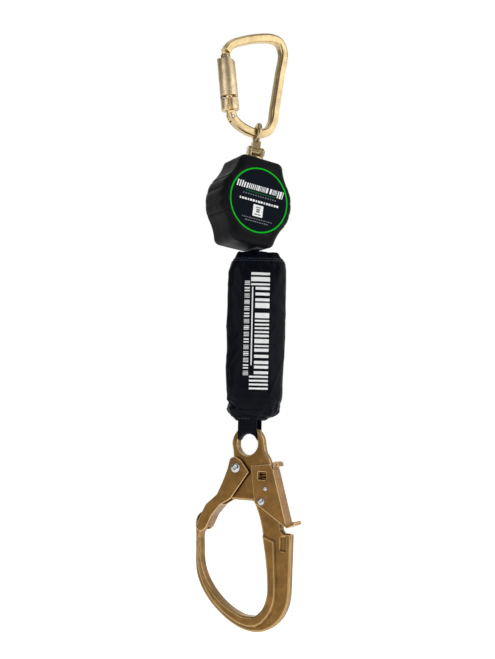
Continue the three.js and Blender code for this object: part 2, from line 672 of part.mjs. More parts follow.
function webGuide() {
  const half = outletWidth / 2;
  const block = box([outletX - half, webOffset - outletHalfDepth, outletBottom],
    [outletX + half, webOffset + outletHalfDepth, outletTop]);
  const slotHalf = webThickness / 2 + 0.5;
  const mouth = outline([
    [outletX - slotHalf - 1.4, outletTop + 1], [outletX - slotHalf, outletTop - 1.6],
    [outletX - slotHalf, outletBottom + 1.4], [outletX - slotHalf - 1, outletBottom - 1],
    [outletX + slotHalf + 1, outletBottom - 1], [outletX + slotHalf, outletBottom + 1.4],
    [outletX + slotHalf + 0.6, outletTop - 1.6], [outletX + slotHalf + 2, outletTop + 1],
  ]);
  return cut(block, [plateSolid(mouth, webOffset - webWidth / 2 - 0.5, webOffset + webWidth / 2 + 0.5)]);
}
part('web_guide', housing, webGuide(), drumPlastic());

// ---------------------------------------------------------------- lifeline and shock pack
const pack = groupAt(object, [0, webOffset, 0], { yaw: packYaw });
const exposedTop = packTop + 0.9;
const webIn = 8; // how far the lifeline goes into the pack at rest
part('lifeline_web', object, box([-webThickness / 2, webOffset - webWidth / 2, packTop - webIn],
  [webThickness / 2, webOffset + webWidth / 2, exposedTop]), blackWeb());

/** The pack's outline, gathered in at both ends and run on past them, drawn inset by a margin. */
function packShape(inset = 0) {
  const w = packHalfWidth - inset;
  const neck = webWidth / 2 + 2.2 - inset / 2;
  const top = packTop + packRound + 2;
  const bottom = packBottom - packRound - 2;
  const side = [
    [w * 0.8, top], [w * 0.88, packTop - 9], [w * 0.98, packTop - 19], [w, packTop - 40], [w, packTop - 100],
    [w, packTop - 150], [w * 0.98, packBottom + 30],
    [w * 0.84, packBottom + 16], [neck + 2.1, packBottom + 7],
    [neck, bottom],
  ];
  const mirrored = side.map(([x, z]) => [-x, z]).reverse();
  return outline([side, mirrored]);
}

function absorberCover() {
  const half = packDepth / 2;
  const outer = plateSolid(packShape(), -half, half, packRound, 2, 2);
  const inner = plateSolid(packShape(packWall), -half + packWall, half - packWall, packRound - 1, 1, 1);
  const ends = box([-60, -60, packBottom], [60, 60, packTop]);
  return cut(outer.intersect(ends), [inner]);
}
part('absorber_cover', pack, absorberCover(), packFabric());
const coreTop = packTop - webIn - 2;
part('absorber_core', pack, box([-coreWidth / 2, -coreDepth / 2, coreTop - coreLength],
  [coreWidth / 2, coreDepth / 2, coreTop]), blackWeb());

// ---------------------------------------------------------------- hook
// In the hook's own frame the eye's centre is the origin and the front is -Y.
const hook = groupAt(object, [0, webOffset, hookEyeDrop], { yaw: hookYaw });
const eyeIn = hookEyeInner / 2;
const eyeOut = hookEyeOuter / 2;

// the sewn loop: it saddles over the top of the hook's eye, and its tail goes up into the pack
function hookLoop() {
  const halfDepth = hookWeb / 2 + GAP;
  const ply = webThickness;
  const sides = 40;
  const outer = rodY(eyeOut + GAP + ply, -halfDepth - ply, halfDepth + ply, 0, 0, sides);
  const hole = rodY(eyeIn - GAP - ply, -30, 30, 0, 0, sides);
  const room = tubeY(eyeOut + GAP, eyeIn - GAP, -halfDepth, halfDepth, sides);
  const spread = rad(40);
  const wedge = plateSolid(outline([
    [0, 0], [60 * Math.sin(spread), 60 * Math.cos(spread)], [-60 * Math.sin(spread), 60 * Math.cos(spread)],
  ]), -30, 30);
  const tail = box([-webWidth / 2, -ply * 1.6, eyeOut + GAP + 0.4], [webWidth / 2, ply * 1.6,
    packBottom - hookEyeDrop + 14]);
  return join([cut(outer, [hole, room]).intersect(wedge), tail]);
}
part('hook_loop', hook, hookLoop(), blackWeb());

const bowlOuter = [
  [[-59.6, -80.2], [-64.9, -86], [-66.7, -94.2], [-66, -104], [-65.6, -120], [-65.2, -136], [-63.3, -150.3],
    [-58.1, -163.2], [-51, -173.8], [-41.7, -183.9], [-30.4, -193.1],
    [-18.3, -200.8], [-5.7, -206.1], [6.4, -208.6],
    [18.4, -208.2], [29.4, -204.7], [39.6, -198], [47.4, -189], [52.6, -178.6], [55.2, -166.8], [55.9, -152.4],
    [56.2, -132], [56.6, -112], [56.9, -97.6]],
];
const bowlInner = [
  [9, -64.2], [11.8, -70.2], [16.2, -80.8], [19.2, -91.5], [22.2, -105.3], [25.2, -122], [27.4, -138],
  [28.6, -153.4], [28.6, -165.4], [26.2, -175.8], [22, -183.6], [16, -189.4], [11.1, -191.8],
];
const bowlInnerLeft = [
  [1.2, -191.8], [-5.5, -190.6], [-17.5, -185.6], [-28.9, -178.2],
  [-39.9, -168.2], [-48.7, -156.8], [-54.2, -145.8],
  [-57.1, -134], [-57.9, -119.3], [-58.4, -106], [-53.6, -97.4], [-52.4, -86],
];
const noseTop = [-57.4, -80.4];

function hookBody() {
  const half = hookWeb / 2;
  const flange = hookFlange / 2;
  const shoulder = [[47.8, -97.5], [44.8, -94.4], [43.4, -85]]; // the ledge under the lock
  const neckRight = [[40, -62], [32.4, -28], [27.6, -16.6], [22.4, -9]];
  const eyeTop = [];
  for (let angle = 0; angle <= 200; angle += 8) {
    eyeTop.push([eyeOut * Math.cos(rad(angle)), eyeOut * Math.sin(rad(angle))]);
  }
  const neckLeft = [[-18.4, -14], [-18.6, -17], [-20.4, -24], [-21, -34], [-20.4, -52], [-20, -63.8]];
  const whole = outline([
    ...bowlOuter, ...shoulder, ...neckRight, ...eyeTop, ...neckLeft,
    bowlInner, bowlInnerLeft, noseTop,
  ]);
  const web = plateSolid(whole, -half, half, 1.6, 1, 2);
  // the thick inner rim follows the bowl from the nose to the shelf on the spine
  const rimOuter = [
    [37.2, -106.6], [38.2, -127], [39.6, -152.4], [39, -170.9], [33, -187], [17.5, -202], [-3.5, -202.4],
    [-27.7, -190.6], [-45, -175], [-56.2, -157.5], [-61.8, -140], [-63.5, -122], [-63.9, -104], [-64.1, -92],
    [-57.6, -83],
  ];
  const rim = outline([
    [21.4, -101.4], rimOuter, [-54.1, -86.6], bowlInnerLeft.slice(0, 11).reverse(),
    bowlInner.slice(5).reverse(),
  ]);
  const inner = plateSolid(rim, -flange, flange, 1.6, 1, 2);
  const stopTravel = [stopRivet[0] + 1.2, stopRivet[1] - 0.2];
  const recess = (side) => box([43.8, Math.min(side * 6, side * (half - 1.2)), -117.2],
    [50.4, Math.max(side * 6, side * (half - 1.2)), -101.6]);
  return cut(join([web, inner]), [
    rodY(eyeIn, -20, 20, 0, 0, 40),
    rodY(gateRivetShank / 2 + GAP, -20, 20, ...gateRivet, 24),
    rodY(lockRivetShank / 2 + GAP, -20, 20, ...lockRivet, 24),
    rodY(stopRivetShank / 2 + 2.1, -20, 20, ...stopTravel, 24),
    box([15.8, -20, -40.4], [26.8, 20, -31.4]), // pocket of the lock's spring
    recess(-1), recess(1),
  ]);
}
part('hook_body', hook, hookBody(), hookSteel());

const channelHalf = channelInner / 2;
const channelOut = channelHalf + channelSteel;

/** A rivet along Y: shank and a domed head at each end, just clear of the channel's plates. */
function rivet([x, z], shank, head, dome) {
  const end = channelOut + GAP;
  const profile = [
    [0, -end - dome], [head * 0.3, -end - dome * 0.92], [head * 0.42, -end - dome * 0.55], [head / 2, -end],
    [shank / 2, -end], [shank / 2, end], [head / 2, end], [head * 0.42, end + dome * 0.55],
    [head * 0.3, end + dome * 0.92], [0, end + dome]];
  const points = profile.map((p) => new THREE.Vector2(...p));
  return new THREE.LatheGeometry(points, 18).translate(x, 0, z);
}
part('gate_rivet', hook, rivet(gateRivet, gateRivetShank, 12, 2.4), zincSteel());
part('lock_rivet', hook, rivet(lockRivet, lockRivetShank, 9, 1.8), zincSteel());

/** The hook's gate: a bent channel, open towards the nose, closed on the bowl's side. */
function hookGate() {
  const flank = outline([
    [[-20.6, -19.6], [-18.6, -16.6], [-13, -15.2], [-5.6, -19]], [4.6, -31.5], [-18.4, -63], [-31.6, -70.6],
    [-42.4, -83], [-49.4, -97.5], [[-53.4, -101], [-58.8, -101.4], [-62.6, -98.4]], [-56.8, -84],
    [-54, -77.4], [-50.2, -70.8], [-36.2, -59], [-28.8, -44], [-23, -29.6],
  ]);
  const sides = [
    plateSolid(flank, -channelOut, -channelHalf, 0, 1, 3),
    plateSolid(flank, channelHalf, channelOut, 0, 1, 3),
  ];
  const floor = outline([
    [-31.6, -70.6], [-42.4, -83], [-49.4, -97.5], [-51.3, -96.7], [-44.2, -82], [-33, -69],
  ]);
  const bore = rodY(gateRivetShank / 2 + RUN, -20, 20, ...gateRivet, 24);
  return cut(join([...sides, plateSolid(floor, -channelOut, channelOut)]), [bore]);
}
part('hook_gate', hook, hookGate(), hookSteel());

/** The lock lever on the hook's back: a channel closed on the outside, with its thumb tab. */
function hookLock() {
  const flank = outline([
    [7.2, -24.6], [31, -21.6], [35, -27.6], [53.4, -91.6], [24, -72.8], [12.8, -66.2],
  ]);
  const sides = [
    plateSolid(flank, -channelOut, -channelHalf),
    plateSolid(flank, channelHalf, channelOut),
  ];
  const back = plateSolid(outline([
    [35, -27.6], [51.4, -84.6], [53.2, -87.6], [61.4, -83.4], [63.2, -85], [62.4, -87.6], [53.8, -91.2],
    [50.2, -88], [33, -28.2],
  ]), -channelOut, channelOut);
  const curlLine = [[34.2, -29.4], [34.4, -23.5], [36.2, -19.8], [39, -20.4], [39.8, -24.4]];
  const curl = solid(plate(band(curlLine, channelSteel, 20), -channelOut + 2, channelOut - 2));
  return cut(join([...sides, back, curl]), [
    rodY(lockRivetShank / 2 + RUN, -20, 20, ...lockRivet, 24),
    rodY(stopRivetShank / 2 + GAP, -20, 20, ...stopRivet, 16),
    box([16.4, -20, -39.6], [26.8, -channelHalf + 1, -31]), // window over the spring
  ]);
}
part('hook_lock', hook, hookLock(), hookSteel());
part('lock_stop_rivet', hook, rivet(stopRivet, stopRivetShank, 5.2, 1.2), zincSteel());

/** The bent leaf behind the window, which pushes the lock back. */
function lockSpring() {
  const line = [[17, -32.8], [24.6, -33], [24.8, -35], [17.6, -35.6], [17.6, -37.6], [25, -38.6]];
  return plate(band(line, 0.8, 30), -4.4, 4.4);
}
part('lock_spring', hook, lockSpring(), bronze());

export default object;
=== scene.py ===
import json
import math

import bmesh
import bpy
import numpy as np
from bpy.props import FloatProperty, IntProperty, PointerProperty, StringProperty
from mathutils import Matrix, Vector, noise
from mathutils.bvhtree import BVHTree


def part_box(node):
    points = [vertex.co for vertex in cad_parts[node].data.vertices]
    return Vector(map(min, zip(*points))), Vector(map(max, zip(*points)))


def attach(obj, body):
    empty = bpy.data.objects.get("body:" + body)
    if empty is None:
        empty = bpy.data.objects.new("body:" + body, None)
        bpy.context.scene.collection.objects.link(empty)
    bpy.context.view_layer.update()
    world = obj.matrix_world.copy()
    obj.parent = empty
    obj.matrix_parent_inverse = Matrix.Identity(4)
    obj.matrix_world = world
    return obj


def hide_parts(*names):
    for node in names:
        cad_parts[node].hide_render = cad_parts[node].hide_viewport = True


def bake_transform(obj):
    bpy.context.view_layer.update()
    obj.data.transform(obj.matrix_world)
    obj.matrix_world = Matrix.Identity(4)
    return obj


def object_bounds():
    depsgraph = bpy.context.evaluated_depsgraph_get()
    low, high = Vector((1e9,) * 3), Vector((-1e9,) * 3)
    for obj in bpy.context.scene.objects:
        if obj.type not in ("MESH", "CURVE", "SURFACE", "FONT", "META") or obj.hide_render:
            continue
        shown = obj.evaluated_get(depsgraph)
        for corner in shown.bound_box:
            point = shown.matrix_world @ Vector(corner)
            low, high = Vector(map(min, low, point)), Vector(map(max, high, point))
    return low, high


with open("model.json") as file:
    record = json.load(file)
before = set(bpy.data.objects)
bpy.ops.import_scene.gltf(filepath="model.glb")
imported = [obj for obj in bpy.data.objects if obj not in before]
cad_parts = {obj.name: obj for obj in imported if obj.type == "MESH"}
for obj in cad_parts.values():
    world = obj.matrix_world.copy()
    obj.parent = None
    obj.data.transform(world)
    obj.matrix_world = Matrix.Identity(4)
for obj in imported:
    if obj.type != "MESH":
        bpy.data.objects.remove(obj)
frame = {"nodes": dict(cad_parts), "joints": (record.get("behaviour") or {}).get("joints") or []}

bl_info = {
    "name": "Self retracting lifeline",
    "version": (1, 0, 0),
    "blender": (4, 5, 0),
    "location": "View3D > Sidebar > Lifeline",
    "description": "Builds a web retractor, its carabiner, shock pack and rebar hook round a packed frame",
    "category": "Add Mesh",
}

MM = 0.001
CAD_LOW, CAD_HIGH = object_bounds()


# ---------------------------------------------------------------- places taken from the frame
def joint(name):
    """The frame's joint of that name."""
    return next(j for j in frame["joints"] if j["name"] == name)


def placed(origin, lean=0.0, yaw=0.0):
    """A frame at a point, turned about Z (yaw) and then about Y (lean), in radians."""
    turn = Matrix.Rotation(lean, 4, "Y") @ Matrix.Rotation(yaw, 4, "Z")
    return Matrix.Translation(Vector(origin)) @ turn


HANG_LEAN = math.atan2(joint("housing_swivel")["axis"][0], joint("housing_swivel")["axis"][2])
GATE_AXIS = Vector(joint("sleeve_twist")["axis"])
HOOK_AXIS = Vector(joint("hook_swing")["axis"])
HOUSING = placed(joint("drum_spin")["pos_m"], lean=HANG_LEAN)
GATE = placed(joint("carabiner_gate_hinge")["pos_m"], lean=math.atan2(-GATE_AXIS[0], -GATE_AXIS[2]))
HOOK_YAW = math.atan2(HOOK_AXIS[1], HOOK_AXIS[0])
PACK_YAW = math.radians(-30)
WEB_OFFSET = joint("hook_swing")["pos_m"][1]
HOOK_EYE = 22.6 * MM  # the hook's eye centre under the pack
KNURL_RUN = 16.7  # how much longer than wide a knurl line is
PACK_LOW, PACK_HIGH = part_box("absorber_cover")
PACK = placed((0, WEB_OFFSET, 0), yaw=PACK_YAW)
HOOK = placed((0, WEB_OFFSET, PACK_LOW.z - HOOK_EYE), yaw=HOOK_YAW)


# ---------------------------------------------------------------- settings
class LifelineSizes(bpy.types.PropertyGroup):
    """Sizes of the finish work; the main sizes come from the frame."""

    bar_width: FloatProperty(
        name="Bar width", description="Carabiner bar, seen from the front",
        default=10.5 * MM, unit="LENGTH")
    bar_depth: FloatProperty(
        name="Bar depth", description="Carabiner bar, front to back",
        default=12 * MM, unit="LENGTH")
    bar_corner: FloatProperty(
        name="Bar corner", description="Rounding of the carabiner bar's edges",
        default=3.6 * MM, unit="LENGTH")
    housing_round: FloatProperty(
        name="Housing rounding", description="Radius of the moulded housing's front and rear edges",
        default=6.5 * MM, unit="LENGTH")
    lobe: FloatProperty(
        name="Lobe height", description="How far the grip lobes stand out of the housing's sides",
        default=2.2 * MM, unit="LENGTH")
    label_ring: FloatProperty(
        name="Label ring", description="Width of the coloured ring round the label",
        default=1.7 * MM, unit="LENGTH")
    web_thickness: FloatProperty(
        name="Webbing thickness", description="Thickness of one ply of webbing",
        default=1.8 * MM, unit="LENGTH")
    web_width: FloatProperty(
        name="Webbing width", description="Width of the lifeline webbing",
        default=25 * MM, unit="LENGTH")
    stitch: FloatProperty(
        name="Stitch length", description="Length of one lock stitch",
        default=3.2 * MM, unit="LENGTH")
    thread: FloatProperty(
        name="Thread", description="Radius of the sewing thread",
        default=0.42 * MM, unit="LENGTH")
    cloth_travel: FloatProperty(
        name="Cloth travel", description="Furthest that a point of the cover may move in the simulation",
        default=3 * MM, unit="LENGTH")
    cloth_frames: IntProperty(
        name="Cloth frames", description="Frames that the pack's cover is simulated for",
        default=18, min=1, max=60)


class LifelineFinishes(bpy.types.PropertyGroup):
    """Colours as sRGB hex values."""

    plating: StringProperty(
        name="Plating", description="Yellow zinc plating of the carabiner", default="#E4CA98")
    forging: StringProperty(
        name="Forging", description="Yellow zinc plating over the hook's forged steel", default="#8F6A3B")
    sleeve: StringProperty(
        name="Sleeve", description="Champagne plating of the lock sleeve", default="#E6CFA8")
    rivet: StringProperty(
        name="Rivet", description="Bright zinc of rivets and screws", default="#C9CCCF")
    moulding: StringProperty(
        name="Moulding", description="Black plastic of the housing", default="#0B0C0E")
    label_ground: StringProperty(
        name="Label ground", description="Ground colour of the round label", default="#060D18")
    label_rim: StringProperty(
        name="Label rim", description="Colour of the label's ring", default="#07B61D")
    cover_cloth: StringProperty(
        name="Cover cloth", description="Nylon cloth of the shock pack's cover", default="#04070D")
    print_white: StringProperty(
        name="Print", description="White ink of the label and pack", default="#F2F3F4")


# ---------------------------------------------------------------- colours and nodes
def linear(hex_colour, alpha=1.0):
    """An sRGB hex value as linear RGBA."""
    parts = [int(hex_colour[i:i + 2], 16) / 255 for i in (1, 3, 5)]
    return tuple(c / 12.92 if c <= 0.04045 else ((c + 0.055) / 1.055) ** 2.4 for c in parts) + (alpha,)


def shade(hex_colour, factor):
    """A lighter or darker hex value."""
    parts = [int(hex_colour[i:i + 2], 16) for i in (1, 3, 5)]
    return "#" + "".join(f"{min(255, max(0, round(p * factor))):02X}" for p in parts)


def add(tree, kind, values=None, wires=None, **settings):
    """Adds a node: settings are its own properties, values its input values, wires its incoming links."""
    made = tree.nodes.new(kind)
    for key, value in settings.items():
        setattr(made, key, value)
    for key, value in (values or {}).items():
        made.inputs[key].default_value = value
    for key, socket in (wires or {}).items():
        tree.links.new(socket, made.inputs[key])
    return made


def ramp(tree, source, stops):
    """A colour ramp over a 0 to 1 value; stops are (place, hex) pairs."""
    made = add(tree, "ShaderNodeValToRGB", wires={"Fac": source})
    elements = made.color_ramp.elements
    while len(elements) < len(stops):
        elements.new(0.5)
    for element, (place, colour) in zip(elements, stops):
        element.position = place
        element.color = linear(colour)
    return made.outputs["Color"]


def new_material(name):
    """An empty material with its Principled shader and Object coordinates."""
    material = bpy.data.materials.new(name)
    material.use_nodes = True
    tree = material.node_tree
    shader = tree.nodes["Principled BSDF"]
    place = add(tree, "ShaderNodeTexCoord")
    return material, tree, shader, place.outputs["Object"]


def per_size(size):
    """The scale of a pattern whose features are that large, in metres."""
    return 1 / size


def turned(tree, coords, rotation=(0, 0, 0), coarser=(1, 1, 1), centre=(0, 0, 0)):
    """Coordinates centred on a point, turned with a piece, and made coarser along its axes."""
    values = {"Location": centre, "Rotation": rotation, "Scale": coarser}
    return add(tree, "ShaderNodeMapping", values, {"Vector": coords}, vector_type="TEXTURE").outputs[0]


def speckle(tree, coords, size, detail=2.0, rough=0.5):
    """Noise whose features are that large, from 0 to 1."""
    values = {"Scale": per_size(size), "Detail": detail, "Roughness": rough}
    return add(tree, "ShaderNodeTexNoise", values, {"Vector": coords}).outputs["Fac"]


def spread(tree, source, low, high, start=0.3, end=0.7):
    """A 0 to 1 value spread over a range."""
    values = {"From Min": start, "From Max": end, "To Min": low, "To Max": high}
    return add(tree, "ShaderNodeMapRange", values, {"Value": source}).outputs[0]


def blend_colour(tree, factor, first, second, blend_type="MIX"):
    """A mix of two colours: each is a socket or a hex value."""
    made = add(tree, "ShaderNodeMix", data_type="RGBA", blend_type=blend_type)
    for index, colour in ((6, first), (7, second)):
        if isinstance(colour, str):
            made.inputs[index].default_value = linear(colour)
        else:
            tree.links.new(colour, made.inputs[index])
    if isinstance(factor, float):
        made.inputs[0].default_value = factor
    else:
        tree.links.new(factor, made.inputs[0])
    return made.outputs[2]


def bumped(tree, height, depth, strength=1.0, under=None):
    """A bump of that depth in metres."""
    wires = {"Height": height}
    if under is not None:
        wires["Normal"] = under
    return add(tree, "ShaderNodeBump", {"Strength": strength, "Distance": depth}, wires).outputs[0]


def finish(tree, shader, colour=None, roughness=None, normal=None, **fixed):
    """Wires the patterns to the shader and sets what is the same all over."""
    for key, source in (("Base Color", colour), ("Roughness", roughness), ("Normal", normal)):
        if source is not None:
            tree.links.new(source, shader.inputs[key])
    for key, value in fixed.items():
        shader.inputs[key.replace("_", " ")].default_value = value


# ---------------------------------------------------------------- materials
def yellow_zinc(name, base, light, dark, grain, roughness, bump, highlight_share):
    """Steel plated with yellow zinc: the chromate film pools in soft clouds; shade is painted darker into
    hollows and a highlight painted pale onto edges.
    """
    material, tree, shader, coords = new_material(name)
    clouds = speckle(tree, coords, 11 * MM, 4, 0.6)
    film = ramp(tree, clouds, [(0.3, dark), (0.72, base)])
    mottle = speckle(tree, coords, grain * 3, 3)
    tinted = blend_colour(tree, spread(tree, mottle, 0.0, 0.22), film, dark)
    edge = add(tree, "ShaderNodeAttribute", attribute_name="edge").outputs["Fac"]
    # Painted shade: hollows are blended towards a near-black brown.
    hollow_shaded = blend_colour(tree, spread(tree, edge, 0.75, 0.0, -0.5, -0.08), tinted, shade(dark, 0.42))
    # Painted highlight: edges are blended towards the pale colour.
    painted_edge_highlight = spread(tree, edge, 0.0, highlight_share, 0.12, 0.55)
    colour = blend_colour(tree, painted_edge_highlight, hollow_shaded, light)
    fine = speckle(tree, coords, grain, 3)
    finish(tree, shader, colour, spread(tree, fine, *roughness), bumped(tree, fine, bump), Metallic=1.0)
    return material


def plated_bar(look):
    """Yellow zinc over smooth drawn bar: satin, pale gold and bright."""
    return yellow_zinc("yellow_zinc_bar", look.plating, shade(look.plating, 1.1), shade(look.plating, 0.78),
                       0.5 * MM, (0.24, 0.34), 0.012 * MM, 0.5)


def plated_swivel(look):
    """Yellow zinc on the swivel's forgings: between the bar's pale gold and the hook's brown."""
    return yellow_zinc("yellow_zinc_swivel", shade(look.plating, 0.86), shade(look.plating, 1.04),
                       shade(look.plating, 0.66), 0.6 * MM, (0.24, 0.36), 0.03 * MM, 0.7)


def plated_forging(look):
    """Yellow zinc over a shot-blasted forging: brown gold, grainy, with a pale highlight painted on its
    edges.
    """
    return yellow_zinc("yellow_zinc_forging", look.forging, "#E2C28A", shade(look.forging, 0.76),
                       0.7 * MM, (0.26, 0.4), 0.05 * MM, 0.8)


def plated_sheet(look):
    """Yellow zinc over pressed sheet: a little smoother and redder than the forging."""
    return yellow_zinc("yellow_zinc_sheet", shade(look.forging, 1.04), "#E8CA94", shade(look.forging, 0.82),
                       0.6 * MM, (0.24, 0.36), 0.03 * MM, 0.8)


def knurled_sleeve(look):
    """Champagne plating over a straight knurl: fine lines run along the barrel and dull its shine."""
    material, tree, shader, coords = new_material("straight_knurl_plating")
    along = turned(tree, coords, rotation=(0, GATE.to_euler().y, 0), centre=GATE.translation)
    lines = turned(tree, along, coarser=(1, 1, KNURL_RUN))
    knurl = speckle(tree, lines, 0.9 * MM, 3, 0.7)
    wear = speckle(tree, along, 6 * MM, 4, 0.6)
    stops = [(0.3, shade(look.sleeve, 0.84)), (0.52, look.sleeve), (0.72, shade(look.sleeve, 1.1))]
    film = ramp(tree, wear, stops)
    colour = blend_colour(tree, spread(tree, knurl, 0.0, 0.45), film, shade(look.sleeve, 0.66))
    finish(tree, shader, colour, spread(tree, knurl, 0.34, 0.5), bumped(tree, knurl, 0.10 * MM), Metallic=1.0)
    return material


def bright_zinc(look, name="bright_zinc", tone=1.0):
    """Clear zinc on small turned parts: silver, with faint turning marks and dull spots."""
    material, tree, shader, coords = new_material(name)
    spots = speckle(tree, coords, 1.4 * MM, 4, 0.6)
    colour = ramp(tree, spots, [(0.3, shade(look.rivet, 0.8 * tone)), (0.65, shade(look.rivet, tone))])
    fine = speckle(tree, coords, 0.35 * MM, 2)
    finish(tree, shader, colour, spread(tree, fine, 0.12, 0.24), bumped(tree, fine, 0.01 * MM), Metallic=1.0)
    return material


def oiled_spring(_look):
    """Blued spring steel with an oil film: dark, with straw patches."""
    material, tree, shader, coords = new_material("oiled_spring_steel")
    patches = speckle(tree, coords, 5 * MM, 3)
    colour = ramp(tree, patches, [(0.35, "#4A4F57"), (0.6, "#6C7078"), (0.75, "#7E7460")])
    finish(tree, shader, colour, spread(tree, speckle(tree, coords, 1 * MM), 0.25, 0.4), Metallic=1.0)
    return material


def sintered_bronze(_look):
    """Oil-filled sintered bronze: brown gold with open pores."""
    material, tree, shader, coords = new_material("sintered_bronze")
    pores = speckle(tree, coords, 0.4 * MM, 4, 0.7)
    colour = ramp(tree, pores, [(0.35, "#6B4520"), (0.55, "#B07A3E")])
    finish(tree, shader, colour, spread(tree, pores, 0.5, 0.35), bumped(tree, pores, 0.03 * MM), Metallic=1.0)
    return material


def moulded_black(look):
    """Black impact-grade plastic from a spark-eroded mould: a fine matt grain and a soft sheen, with a pale
    grey highlight painted on its edges.
    """
    material, tree, shader, coords = new_material("moulded_black_plastic")
    grain = speckle(tree, coords, 0.8 * MM, 3, 0.6)
    flow = speckle(tree, coords, 26 * MM, 3, 0.55)
    base = ramp(tree, flow, [(0.3, shade(look.moulding, 0.8)), (0.7, shade(look.moulding, 1.25))])
    edge = add(tree, "ShaderNodeAttribute", attribute_name="edge").outputs["Fac"]
    # Painted highlight: rounded edges are blended towards a pale grey sheen.
    colour = blend_colour(tree, spread(tree, edge, 0.0, 0.5, 0.15, 0.7), base, "#26262A")
    rough = spread(tree, flow, 0.40, 0.54)
    finish(tree, shader, colour, rough, bumped(tree, grain, 0.06 * MM, 0.7), IOR=1.5, Specular_IOR_Level=0.06)
    return material


def filled_nylon(_look):
    """Glass-filled nylon of the drum and the web guide: dark grey, with a fibrous mottle."""
    material, tree, shader, coords = new_material("glass_filled_nylon")
    fibre = speckle(tree, turned(tree, coords, coarser=(1, 5, 1)), 0.9 * MM, 3, 0.7)
    colour = ramp(tree, fibre, [(0.35, "#26292D"), (0.65, "#43484E")])
    finish(tree, shader, colour, spread(tree, fibre, 0.45, 0.6), bumped(tree, fibre, 0.02 * MM), IOR=1.53)
    return material


def printed_film(name, colour, tone=0.9):
    """Screen ink on satin film: an even colour with a faint ink texture."""
    material, tree, shader, coords = new_material(name)
    ink = speckle(tree, coords, 0.9 * MM, 3)
    finish(tree, shader, ramp(tree, ink, [(0.3, shade(colour, tone)), (0.7, colour)]),
           spread(tree, ink, 0.36, 0.48), bumped(tree, ink, 0.004 * MM), IOR=1.5, Specular_IOR_Level=0.04)
    return material


def woven(name, ground, light, thread, yaw, weave_depth, sheen, rough, shine):
    """Woven cloth: warp and weft cross at the thread spacing, drawn coarse enough to show."""
    material, tree, shader, coords = new_material(name)
    flat = turned(tree, coords, rotation=(0, 0, yaw))
    bands = {"Scale": per_size(thread) / (2 * math.pi), "Distortion": 0.6, "Detail": 1.0}
    warp, weft = (add(tree, "ShaderNodeTexWave", bands, {"Vector": flat}, wave_type="BANDS",
                      bands_direction=axis).outputs["Fac"] for axis in "XZ")
    threads = add(tree, "ShaderNodeMath", {}, {0: warp, 1: weft}, operation="MULTIPLY").outputs[0]
    slow = speckle(tree, coords, 18 * MM, 3, 0.6)
    body = ramp(tree, slow, [(0.3, ground), (0.75, light)])
    colour = blend_colour(tree, spread(tree, threads, 0.0, 0.35, 0.1, 0.9), body, light)
    slub = speckle(tree, flat, thread * 3, 2)
    under = bumped(tree, slub, weave_depth, 0.5)
    normal = bumped(tree, threads, weave_depth, 0.9, under)
    finish(tree, shader, colour, spread(tree, slub, *rough), normal, IOR=1.5, Specular_IOR_Level=shine,
           Sheen_Weight=sheen, Sheen_Roughness=0.35, Sheen_Tint=linear("#8A93A8"))
    return material


def cover_cloth(look):
    """Plain woven nylon with a calendered face: near black, with a low shine."""
    return woven("woven_nylon_cover", look.cover_cloth, shade(look.cover_cloth, 1.5), 0.9 * MM, PACK_YAW,
                 0.05 * MM, 0.0, (0.34, 0.46), 0.08)


def webbing(look):
    """Polyester webbing: coarse ribs across, black with a slight blue."""
    return woven("woven_polyester_web", shade(look.cover_cloth, 0.9), shade(look.cover_cloth, 1.7), 1.6 * MM,
                 HOOK_YAW, 0.18 * MM, 0.01, (0.45, 0.6), 0.07)


def sewing_thread(_look):
    """Bonded polyester thread: black with a waxy shine."""
    material, tree, shader, coords = new_material("bonded_thread")
    ply = speckle(tree, coords, 0.5 * MM, 2)
    finish(tree, shader, ramp(tree, ply, [(0.3, "#0E1220"), (0.7, "#262C3C")]),
           spread(tree, ply, 0.35, 0.5), bumped(tree, ply, 0.03 * MM), IOR=1.5)
    return material


def paper_white(_look):
    """Matt off-white stage cloth."""
    material, tree, shader, coords = new_material("stage_white")
    tone = speckle(tree, coords, 0.5, 2)
    finish(tree, shader, ramp(tree, tone, [(0.3, "#F8F8F8"), (0.7, "#FDFDFD")]), Roughness=0.95,
           Emission_Color=linear("#FFFFFF"), Emission_Strength=0.62)
    return material


MATERIAL_MAKERS = {
    "bar": plated_bar,
    "forging": plated_forging,
    "swivel": plated_swivel,
    "sheet": plated_sheet,
    "sleeve": knurled_sleeve,
    "zinc": bright_zinc,
    "spring": oiled_spring,
    "bronze": sintered_bronze,
    "moulding": moulded_black,
    "nylon": filled_nylon,
    "label": lambda look: printed_film("label_ground_film", look.label_ground),
    "rim": lambda look: printed_film("label_green_ink", look.label_rim),
    "fine_green": lambda look: printed_film("label_dark_green_ink", "#0A6B38"),
    "white": lambda look: printed_film("white_ink", look.print_white),
    "grey": lambda look: printed_film("grey_ink", "#7C8188"),
    "ink": lambda look: printed_film("dark_ink", "#23282F"),
    "cloth": cover_cloth,
    "web": webbing,
    "thread": sewing_thread,
    "stage": paper_white,
}
_made = {}


def finish_of(key):
    """The material of that key, made once."""
    if key not in _made:
        _made[key] = MATERIAL_MAKERS[key](bpy.context.scene.lifeline_finishes)
    return _made[key]


# ---------------------------------------------------------------- meshes
def paint(mesh, key):
    """Gives a mesh its one material."""
    mesh.materials.clear()
    mesh.materials.append(finish_of(key))


def link(name, mesh, key=None):
    """A new object in the scene, with the material of that key."""
    made = bpy.data.objects.new(name, mesh)
    bpy.context.scene.collection.objects.link(made)
    if key is not None:
        paint(mesh, key)
    return made


def mesh_of(name, points, faces):
    """A mesh from points and faces, with its faces turned out."""
    mesh = bpy.data.meshes.new(name)
    mesh.from_pydata([tuple(p) for p in points], [], faces)
    bm = bmesh.new()
    bm.from_mesh(mesh)
    bmesh.ops.recalc_face_normals(bm, faces=bm.faces)
    bm.to_mesh(mesh)
    bm.free()
    return mesh


